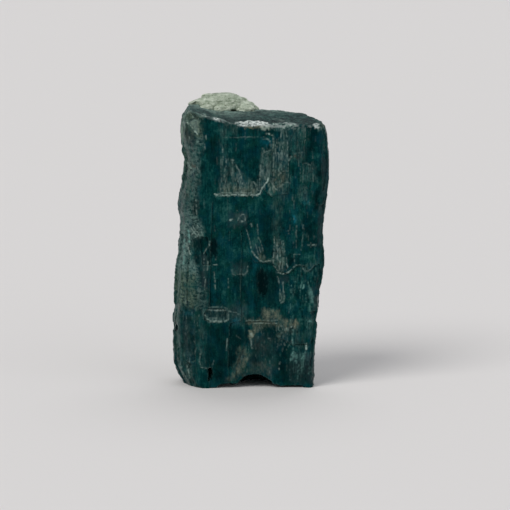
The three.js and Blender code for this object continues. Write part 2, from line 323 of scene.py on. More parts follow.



# marks laid on the front of the blade, with x and height in mm
# patches by layer: strength, softness of the border, outline
patches = {
    # clouds of lighter sea green in the depth of the stone
    "glow": [
        (0.4, 1, [(-5, 34), (-5.4, 31.6), (-3.6, 26), (-2, 24.4), (-2.4, 30.4), (-3.6, 33.6)]),
        (0.2, 1.2, [(-9, 52), (-8.4, 40), (-8, 34), (-6.4, 33.4), (-6.6, 40), (-6.3, 50.5)]),
        (0.5, 1, [(-7.6, 36), (-7.4, 30.5), (-5.6, 28), (-3.2, 24.6), (-3.1, 30), (-4.4, 34), (-4, 36)]),
        (0.6, 0.9, [(-1.4, 29), (-1.8, 26), (-0.6, 24.6), (0.4, 25.2), (-0.4, 28.6)]),
        (0.4, 0.9, [(-1, 36), (-0.8, 31), (1, 31), (3, 33.6), (3.6, 35.8)]),
        (0.5, 0.9, [(-7, 33.6), (-6.8, 30.4), (-5.2, 30.4), (-5, 33.6)]),
        (0.7, 1, [(7.1, 42.8), (7.2, 36.6), (9, 36.6), (9.4, 42.6)]),
        (0.5, 0.9, [(10, 26.2), (9.9, 23.6), (11, 22.4), (12.6, 23.6), (12.8, 26.2)]),
        (0.35, 1, [(7.2, 22.2), (7, 16), (7.8, 11.4), (9.6, 11), (11.6, 12), (12, 19), (11, 22)]),
        (0.15, 1, [(-0.5, 19), (-1, 14.6), (1.4, 13.4), (2, 16), (1.2, 18.4)]),
        (0.15, 1, [(-13, 12.4), (-12.8, 5.8), (-9.4, 6.4), (-8.6, 12)]),
        (0.45, 0.8, [(-7.2, 24), (-7.2, 20.6), (-5.4, 20.6), (-5, 24)]),
        (0.5, 0.8, [(-9, 32.4), (-8.8, 29.8), (-5.4, 29.8), (-5, 32.4)]),
        (0.6, 0.6, [(-8.8, 50.2), (-8.8, 47.6), (-6.8, 47.6), (-6.8, 50)]),
        (0.5, 0.7, [(0.6, 48.4), (0.6, 46), (3.4, 46), (3.4, 48.4)]),
        (0.5, 0.7, [(-9.5, 40), (-9.5, 33), (-8.3, 33), (-8.3, 40)]),
        (1, 0.5, [(9.8, 35.6), (9.9, 34.2), (10.8, 34.2), (10.8, 35.4)]),
        (0.35, 0.8, [(7.2, 37), (7, 33), (8, 30.6), (9.6, 31), (10.6, 33.6), (11.2, 36.6)]),
        (0.8, 0.5, [(12, 44.2), (12, 43.2), (13.4, 43.2), (13.4, 44.2)]),
    ],
    # slate and smoke
    "murk": [
        (0.6, 0.5, [(-12, 48.6), (-11.9, 45.4), (-10.6, 44.8), (-10, 47.6), (-11, 48.8)]),
        (0.5, 0.5, [(-3.5, 23.6), (-3.4, 21.6), (-0.7, 21.6), (-0.6, 23.6)]),
        (0.5, 0.5, [(-4.2, 33.2), (-4, 30.4), (-0.9, 30.4), (-0.8, 33.2)]),
        (0.6, 0.4, [(-9.2, 25.6), (-9.1, 18.8), (-8.1, 18.6), (-8.1, 25)]),
        (0.35, 0.7, [(0.2, 9.6), (-0.2, 4), (0.6, 2.6), (4.4, 2.2), (5, 5), (4.8, 9.8), (2.4, 10)]),
        (0.75, 0.5, [(9.9, 6.4), (9.8, 1), (11.6, 0.8), (11.7, 6.4)]),
        (0.35, 0.6, [(7, 7), (7, 1), (9.8, 1), (9.8, 7)]),
        (0.6, 0.35, [(12.6, 34.4), (12.5, 27.6), (13.6, 27), (13.8, 35)]),
        (0.6, 0.4, [(13, 43.4), (13, 36), (14.6, 36), (14.8, 43)]),
        (0.5, 0.4, [(5.2, 21.3), (5.4, 19.6), (6.9, 20), (7, 21.2)]),
        (0.5, 0.3, [(11.4, 19.2), (11.3, 14), (12, 14), (12.1, 19)]),
        (0.3, 0.7, [(-6, 13), (-6.2, 15.6), (-1, 15.8), (-1, 13.4), (-3.6, 12)]),
    ],
    "veil": [
        # the upper sheet, clouded by splinters, and the rim above it
        (0.26, 0.5, [(-6.1, 36.4), (-5.6, 38.6), (-5.4, 41.4), (-4, 43), (-3, 43), (-2.5, 41.8),
                     (-1.9, 40.8), (-1.1, 40.2), (-0.3, 39.3), (0.6, 38.9), (1.5, 38.5), (1.8, 37.5),
                     (1.5, 36.8), (0.9, 36.4)]),
        (0.4, 0.4, [(-5.9, 36.5), (-5.6, 38), (-3.2, 38.6), (-2, 38.8), (-0.8, 38), (1.7, 37.6),
                    (1.3, 36.6)]),
        (0.2, 0.6, [(-5.6, 48.6), (-5.6, 42), (-4.6, 41.6), (-4.7, 48.6)]),
        (0.38, 0.3, [(1.55, 38.2), (1.7, 40), (1.85, 43.4), (2.2, 44.4), (3.9, 44.9), (3.8, 40),
                     (3.3, 39.2), (2.6, 38.6), (2.2, 38)]),
        (0.45, 0.25, [(3.4, 39.6), (3.4, 36.5), (4, 36.3), (4.4, 37.2), (4.1, 39.4)]),
        (0.34, 0.25, [(4, 48), (4, 36.8), (4.6, 36.8), (4.6, 47)]),
        (0.33, 0.3, [(4.5, 44.6), (4.5, 37.4), (5.2, 37.2), (5.9, 38.3), (6.95, 38.9), (6.95, 43.4),
                     (5.6, 44)]),
        (0.33, 0.3, [(5.6, 49), (5.6, 43.4), (6.95, 43.2), (6.95, 48.8)]),
        (0.3, 0.4, [(5.2, 37.9), (5.4, 36.6), (6.95, 36.6), (6.95, 38.6)]),
        (0.3, 0.8, [(7.1, 45.6), (7.3, 43), (9.8, 43), (10, 45.6)]),
        (0.4, 0.5, [(9, 38.2), (8.8, 36.2), (10.4, 35.8), (10.4, 38)]),
        (1, 0.25, [(-1.2, 49.5), (-1, 49), (1.8, 48.7), (3.4, 48.5), (3.4, 49.5)]),
        (0.6, 0.3, [(3.4, 50), (3.4, 49), (5.4, 48.6), (8.4, 48.8), (8.4, 49.8)]),
        (0.25, 0.6, [(7.2, 49), (7.2, 46.2), (10, 46.2), (10.4, 49)]),
        (0.28, 0.5, [(9.8, 42.4), (9.8, 39), (12.3, 38.8), (12.3, 41.4), (11.4, 42.4)]),
        (0.8, 0.3, [(12.4, 49.4), (12.4, 48.7), (13.6, 48.4), (13.9, 49.8), (13, 50)]),
        (0.2, 0.4, [(-9.1, 25), (-9, 21), (-8.4, 21), (-8.2, 24), (-7.1, 23), (-7.2, 25)]),
        (0.3, 0.6, [(-5.8, 50.6), (-5.4, 48.2), (-2.6, 47.8), (-2.4, 49.8)]),
        (0.25, 0.5, [(5.2, 38), (5.2, 36), (7, 36), (7, 38)]),
        # the column below the sheet and the wedge beside it
        (0.22, 0.35, [(4.1, 36.4), (3.8, 34), (4.4, 33), (4.1, 31.4), (4.4, 28.6), (5.2, 28.6),
                      (5.9, 31.4), (5.9, 33), (5.6, 36.2)]),
        (0.28, 0.3, [(4.6, 28.4), (4.5, 25.4), (4.3, 24.6), (4.5, 23.2), (5.1, 21.9), (6.1, 21.7),
                     (6.5, 22.4), (6.4, 24.4), (6, 27), (5.4, 28)]),
        (0.12, 0.25, [(-0.1, 28.2), (0.2, 26.6), (0.9, 25.2), (1.8, 24), (2.6, 24), (2.5, 25.4),
                      (1.8, 27.8), (1.2, 28.4)]),
        (0.5, 0.2, [(1.3, 25.1), (1.7, 24.1), (2.7, 24), (2.5, 25.2)]),
        (0.4, 0.25, [(2.6, 24.3), (2.6, 23.8), (4.4, 23.9), (4.3, 24.6)]),
        (0.3, 0.35, [(-3.5, 22.3), (-3.3, 21.3), (-0.8, 21.2), (-0.5, 22.9)]),
        (0.35, 0.4, [(-2.6, 33), (-2.6, 31), (-0.9, 31), (-0.9, 33)]),
        (0.5, 0.25, [(5.3, 19), (5.5, 16.2), (6.2, 16.1), (6.2, 18.4)]),
        (0.3, 0.4, [(9.5, 22.9), (10, 22), (10.8, 22), (11.8, 23.2), (12.6, 23.4), (12.4, 24.4)]),
        # clouded bands low on the face, and the framed pit
        (0.2, 0.6, [(2.6, 14), (2.6, 11.8), (9, 10), (9, 12.4)]),
        (0.25, 0.6, [(-3.4, 14), (-3.2, 12), (-0.8, 12), (-0.8, 14)]),
        (0.22, 0.5, [(-3.2, 4.4), (-3.2, 2), (-1, 2.4), (-0.8, 4.4)]),
        (0.95, 0.4, [(2.2, 14.9), (2.2, 13.3), (2.8, 13), (5.3, 13.1), (5.4, 14.7)]),
        (0.5, 0.3, [(-0.9, 13), (-0.8, 12), (2.2, 11.8), (5.2, 11.8), (5.3, 12.9)]),
        (0.5, 0.3, [(0.2, 12), (0.4, 10.6), (1, 9.8), (1.7, 10.6), (2.6, 11.7)]),
        (0.9, 0.25, [(-0.4, 10.7), (-0.4, 9.6), (0.1, 9.3), (0.8, 9.7), (0.9, 10.7)]),
        (0.7, 0.3, [(6.6, 12.9), (6.6, 11.6), (7.6, 11.3), (8.8, 12), (8.6, 13)]),
        (0.45, 0.4, [(5.4, 13), (5.3, 11.4), (6.6, 11.2), (6.7, 12.9)]),
        (0.4, 0.4, [(5.1, 10), (5.2, 8.7), (7.1, 8.6), (7.2, 10.8), (6.2, 11.2)]),
        (0.48, 0.4, [(-2.6, 7.6), (-2.4, 5.8), (-2.8, 4), (-3, 3), (-2.2, 2.4), (-0.9, 4.2), (-0.3, 5),
                     (-0.4, 6.4), (-1, 7.8)]),
        (0.32, 0.5, [(-3, 3.4), (-5, 1.5), (-4.2, 1.1), (-2.4, 2)]),
        (0.15, 0.5, [(0.4, 9.6), (0.2, 7.4), (1.6, 6), (3.8, 7.4), (4.6, 9.8), (3, 10)]),
        (0.3, 0.5, [(0, 4.8), (0, 2.9), (3.8, 2.4), (4.2, 4.2), (2.8, 5)]),
        (0.2, 0.4, [(8.2, 10.6), (8.2, 7.6), (10.1, 7.6), (10, 10.4)]),
        (0.25, 0.4, [(7.4, 6.6), (7.2, 1), (9.9, 0.8), (10.4, 6.2)]),
        (0.25, 0.4, [(10.2, 13.8), (10.1, 9.6), (11.4, 9.4), (11.8, 13.6)]),
        (0.16, 0.6, [(-3.9, 14.6), (-3, 12.9), (-0.8, 13), (-0.6, 16), (-2.8, 16.4)]),
        (0.35, 0.25, [(-8.9, 14.2), (-8.3, 13), (-7.4, 12.4), (-4.6, 12.4), (-3.9, 13.2), (-3.9, 14.8),
                      (-4.6, 15.3), (-7.8, 15.3)]),
        (0.5, 0.3, [(-9.1, 14.9), (-8.9, 13.6), (-8.3, 12.9), (-8, 13.4), (-8, 14.9)]),
        (0.6, 0.2, [(-7.9, 13.1), (-7.5, 12.5), (-4.8, 12.45), (-4.2, 12.9), (-4.6, 13.1)]),
        (0.2, 0.5, [(-9.5, 12), (-9.6, 4), (-8.3, 3.8), (-8.2, 12)]),
        (0.2, 0.4, [(-12.2, 12), (-12, 6), (-11.2, 6), (-11.4, 12)]),
        (0.25, 0.5, [(-12.9, 5.6), (-12.2, 2.2), (-11, 1), (-11, 5)]),
    ],
    # beige where the grey is warm
    "warm": [
        (0.4, 0.4, [(3.9, 47.6), (3.9, 36.6), (4.6, 36.6), (4.6, 47.4)]),
        (1, 0.4, [(-1.4, 49.7), (-1.4, 48.4), (3.6, 48.2), (3.6, 49.7)]),
        (0.6, 0.6, [(-5.8, 38), (-5.8, 36.4), (1.4, 36.4), (1.4, 38)]),
        (0.9, 0.5, [(4.4, 40.6), (4.4, 37.6), (6.4, 38.2), (6.4, 40.6)]),
        (0.8, 0.5, [(-5, 9), (-5, 0.6), (5, 0.6), (6, 16), (-1, 16), (-1, 9)]),
        (0.9, 0.5, [(6, 13.4), (6, 10.4), (9, 10.4), (9, 13.4)]),
        (0.7, 0.5, [(4, 28), (1, 26), (1, 23.4), (5, 21), (7, 21.4), (7, 28)]),
        (0.9, 0.6, [(-13.6, 52), (-13.4, 46), (-9.8, 47.2), (-9, 47.6), (-9, 51.4)]),
        (0.8, 0.9, [(-15, 21.4), (-10.2, 21.4), (-10, 15), (-15, 15)]),
        (0.6, 0.8, [(-15, 15), (-13, 15), (-12.4, 2), (-15, 2)]),
        (0.5, 0.6, [(-13, 44), (-13, 35), (-11, 35), (-10.6, 44)]),
        (0.9, 0.3, [(12.6, 50), (12.7, 49.2), (14, 49), (14, 50)]),
    ],
    # the weathered left side
    "sage": [
        (0.6, 0.5, [(-16, 56), (-8.9, 54), (-8.7, 46.6), (-8.9, 44.6), (-9.6, 43), (-9.4, 40),
                    (-16, 40)]),
        (0.42, 0.6, [(-16, 41), (-9.5, 41), (-9.4, 38), (-9.7, 34.8), (-9.7, 32.6), (-16, 32.6)]),
        (0.7, 0.5, [(-16, 33), (-9.7, 32.6), (-8.7, 30.6), (-8.7, 28.6), (-10.4, 28), (-10.6, 25.4),
                    (-9.8, 23), (-9.2, 19), (-8.2, 19), (-8.1, 15.6), (-9.2, 14.8), (-12.4, 15.4),
                    (-16, 16)]),
        (0.4, 0.8, [(-16, 22.4), (-11, 22.4), (-10, 20), (-10, 16.4), (-12, 15.8), (-16, 16)]),
        (0.1, 0.9, [(-16, 16), (-9, 15.6), (-9.2, 10), (-10.2, 4), (-10.6, 0), (-16, 0)]),
        (1, 0.25, [(-12, 50.4), (-11.4, 49.6), (-10.6, 48.7), (-9.95, 47.8), (-9.6, 47.9), (-9.4, 48.8),
                   (-9, 49.8), (-9.2, 51), (-10.4, 51.2)]),
        (0.9, 0.3, [(-13, 52.6), (-12.8, 49.4), (-11.8, 49.6), (-10.2, 51.4), (-9.4, 52.2), (-10.6, 53)]),
        (0.7, 0.3, [(-13.6, 50), (-13.4, 45.6), (-12.2, 45.6), (-11.8, 49.8)]),
        (0.6, 0.5, [(-11.6, 52.6), (-11, 48.2), (-9.2, 47.8), (-8.8, 52)]),
        (0.7, 0.5, [(-13.6, 53), (-13.4, 43), (-11.6, 43), (-11.5, 53)]),
        (0.75, 0.3, [(-13.2, 31.4), (-13.6, 22.4), (-12, 22.4), (-11.7, 31)]),
        (0.5, 0.35, [(-12.5, 33.2), (-12.2, 31.2), (-10.2, 30.8), (-10.6, 33)]),
        (0.6, 0.3, [(-12, 27.2), (-11.8, 25.2), (-11.6, 22.8), (-10.8, 22.8), (-10.8, 25), (-10.8, 27)]),
        (0.3, 0.3, [(-14.4, 14.8), (-14.2, 5.6), (-13.3, 5.6), (-13.4, 14.8)]),
        (0.7, 0.3, [(-10.1, 47.8), (-10.1, 44.2), (-9, 44.2), (-8.9, 48)]),
    ],
    # painted shade in clefts and slots, and the dark of places where the stone is deepest
    "dark": [
        (0.45, 0.7, [(-7.6, 47.4), (-7.5, 42.6), (-6.2, 42.6), (-6, 47)]),
        (0.15, 0.9, [(-1.8, 46.2), (-1.9, 41.8), (0.2, 39.8), (1.4, 40.4), (1.6, 45.8)]),
        (0.42, 0.8, [(1.7, 33), (1.8, 29), (2.6, 25.4), (4, 25), (4.1, 33)]),
        (0.3, 0.8, [(-2.6, 22), (-3.2, 18), (-0.8, 17.6), (-0.6, 21)]),
        (0.6, 0.7, [(2.6, 20.6), (2.4, 17.8), (3.2, 15.4), (4.9, 15.2), (5, 21.4), (3, 22.4)]),
        (0.9, 0.7, [(1.2, 22.2), (1.1, 19.8), (1.5, 17.8), (2.4, 17.7), (3, 19.8), (3, 21.8),
                    (2.4, 22.4)]),
        (1, 0.5, [(1.7, 21.4), (1.6, 19.6), (1.9, 18), (2.4, 17.9), (2.8, 19.4), (2.6, 21.2)]),
        (0.9, 0.6, [(1.4, 22), (1.4, 19.4), (1.7, 17.8), (2.4, 17.6), (2.9, 19.6), (2.8, 21.4),
                    (2.2, 22)]),
        (0.85, 0.4, [(-7.5, 28.1), (-7.6, 26.2), (-7.2, 24.9), (-6.3, 24.8), (-6.1, 27.2), (-6.6, 28.4)]),
        (0.6, 0.4, [(-10.6, 28.2), (-10.4, 26), (-9, 25.8), (-8.9, 27.8), (-9.6, 28.4)]),
        (0.85, 0.25, [(-8.5, 25.7), (-8.2, 25), (-7.8, 25.3), (-8, 25.8)]),
        (0.5, 0.4, [(-10.4, 25), (-10.3, 23.5), (-9.4, 23.3), (-9.3, 24.9)]),
        (0.4, 0.5, [(-9.7, 22.6), (-9.6, 20), (-8.9, 20), (-8.9, 22.6)]),
        (0.7, 0.35, [(7, 25.2), (7, 23.2), (7.8, 23.1), (7.9, 25.4)]),
        (0.5, 0.3, [(8.2, 25), (8.2, 23.5), (9.5, 23.4), (9.5, 25)]),
        (0.5, 0.5, [(10.6, 49.4), (10.7, 44.8), (12, 44.6), (12.2, 48.4)]),
        (0.65, 0.35, [(12.6, 43), (12.6, 40), (13.1, 39), (13.2, 42.6)]),
        (0.75, 0.4, [(11.8, 37.6), (11.9, 33.4), (12.5, 33.4), (12.7, 37.8)]),
        (0.3, 0.5, [(10.4, 32.8), (10.2, 28), (11.9, 27.6), (12, 32.4)]),
        (0.3, 0.6, [(-8.4, 11.8), (-8.3, 1.6), (-6.4, 1.4), (-6.5, 11.8)]),
        (0.5, 0.8, [(-6.4, 12), (-6.3, 1.4), (-4.6, 1.4), (-4.4, 12)]),
        (0.45, 0.8, [(-13.2, 13.4), (-12.8, 7), (-11, 6.6), (-10.8, 13)]),
        (0.55, 0.5, [(-4.1, 11.6), (-4.1, 7.6), (-4.4, 4), (-2.9, 3.6), (-2.9, 7), (-0.7, 8.8),
                     (-0.9, 11)]),
        (0.5, 0.5, [(2.2, 11.7), (2, 10.4), (2.6, 8.8), (4.8, 9.4), (5, 11.6), (3.8, 12)]),
        (0.38, 0.5, [(4.6, 9.2), (5, 5.4), (5.6, 1.2), (7.1, 1), (7.2, 7.4), (6.4, 8.8)]),
        (0.25, 0.8, [(0.8, 9), (0.6, 5), (4.6, 5), (4.6, 9)]),
        (0.4, 0.6, [(0.2, 7.6), (0.1, 4.4), (1.2, 4.2), (1.6, 7.4)]),
        (0.25, 0.35, [(10.8, 8), (10.7, 7), (11.5, 6.4), (11.5, 7.8)]),
        (0.45, 0.6, [(7, 5.4), (6.8, 0.8), (11.4, 0.8), (11.4, 5)]),
        (0.5, 0.25, [(-7.9, 14.45), (-7.9, 13.4), (-6.35, 13.35), (-6.35, 14.5)]),
        (0.4, 0.25, [(-6.05, 14.5), (-6.05, 13.2), (-4.4, 13.2), (-4.4, 14.45)]),
        (1.0, 0.2, [(-7.75, 3.8), (-7.8, 2.6), (-7.5, 1.4), (-7.25, 1.6), (-7.1, 3.4)]),
        (0.6, 0.3, [(-12.1, 49.2), (-12, 46.8), (-11.4, 47), (-11.5, 49)]),
        (0.35, 0.4, [(-12, 48.8), (-11.8, 45.4), (-10.4, 45), (-10.2, 47), (-11, 48.6)]),
        (0.35, 0.4, [(-9.1, 51), (-8.9, 47.6), (-8.3, 48), (-8.4, 50.8)]),
        (0.5, 0.3, [(-9.2, 42.8), (-9.1, 41), (-8.7, 41.2), (-8.6, 43)]),
        (0.5, 0.3, [(-12, 36.2), (-11.9, 35.3), (-11.5, 35.4), (-11.5, 36.1)]),
        (0.6, 0.4, [(-10.9, 35.4), (-10.9, 32.6), (-9.7, 32.8), (-9.8, 35.4)]),
        (0.3, 0.6, [(-11.2, 30), (-11, 28), (-9.2, 28), (-9.2, 30.2)]),
        (0.3, 0.8, [(-11.2, 18.6), (-11, 15.8), (-9, 15.8), (-9, 18.4)]),
    ],
    # iron stains
    "rust": [
        (0.6, 0.35, [(-10.9, 42), (-10.8, 41.3), (-10.2, 41.3), (-10.2, 42)]),
        (0.75, 0.3, [(7.8, 43.9), (7.9, 43.3), (8.6, 43.3), (8.7, 43.9)]),
        (0.5, 0.3, [(-9.7, 48.7), (-9.6, 48.2), (-9.3, 48.3), (-9.3, 48.7)]),
    ],
    # blue fire
    "blue": [
        (0.6, 0.3, [(8, 32.6), (8, 31.5), (8.35, 31.5), (8.35, 32.6)]),
        (0.12, 0.6, [(7.6, 33.9), (7.7, 31), (8.7, 31), (8.8, 33.9)]),
        (0.22, 0.4, [(10, 35.4), (10, 34.6), (10.6, 34.6), (10.7, 35.4)]),
        (0.15, 0.5, [(0.5, 24.8), (0.5, 22.8), (1.3, 22.8), (1.3, 24.6)]),
        (0.12, 0.4, [(0.45, 22.4), (0.5, 21.6), (0.9, 21.6), (0.9, 22.4)]),
        (0.12, 0.4, [(-0.4, 26.4), (-0.5, 25.2), (0.2, 25), (0.2, 26.2)]),
        (0.25, 0.5, [(2.1, 47), (2.3, 45.8), (3.7, 45.6), (3.8, 46.8)]),
        (0.3, 0.5, [(-3.3, 13.1), (-3.2, 12.2), (-2.1, 12.2), (-2, 13)]),
        (0.14, 0.6, [(-12.4, 14.4), (-12.4, 13.4), (-10.6, 13.6), (-10.6, 14.6)]),
    ],
    # painted highlights on the rim and on the shoulder
    "glint": [
        (0.4, 0.25, [(1.8, 49.3), (2, 48.7), (3.4, 48.4), (3.5, 49.3)]),
        (0.25, 0.12, [(-6.4, 36.6), (-6.4, 36.3), (1.4, 36.3), (1.4, 36.6)]),
        (0.3, 0.2, [(-12.9, 49.4), (-12.9, 46.2), (-12.3, 46.1), (-12.2, 49.2)]),
        (0.25, 0.5, [(-13.6, 52.4), (-13.6, 49.8), (-12, 49.8), (-11.6, 52.4)]),
        (0.2, 0.25, [(-11.3, 49.9), (-10.6, 48.9), (-9.9, 47.8), (-9.6, 48), (-9.5, 49), (-9.3, 50.2),
                     (-10, 50.8)]),
        (0.35, 0.3, [(-13.4, 52.4), (-13, 50.8), (-11.8, 51.2), (-11, 52), (-11.8, 53)]),
    ],
    # fibres that shine at the lower right and on the left side
    "shine": [
        (0.5, 0.3, [(10.6, 19.8), (11.1, 19.2), (11.7, 17.4), (11.7, 15.8), (11.2, 16.2), (10.9, 17.8)]),
        (0.35, 0.2, [(7.3, 4.9), (7.6, 6.3), (8.2, 7), (8.2, 6), (7.8, 5.4)]),
        (0.3, 0.2, [(9.4, 3.8), (9.6, 5.8), (10.3, 7), (10.4, 6.1), (9.9, 5.2), (9.8, 3.8)]),
    ],
}
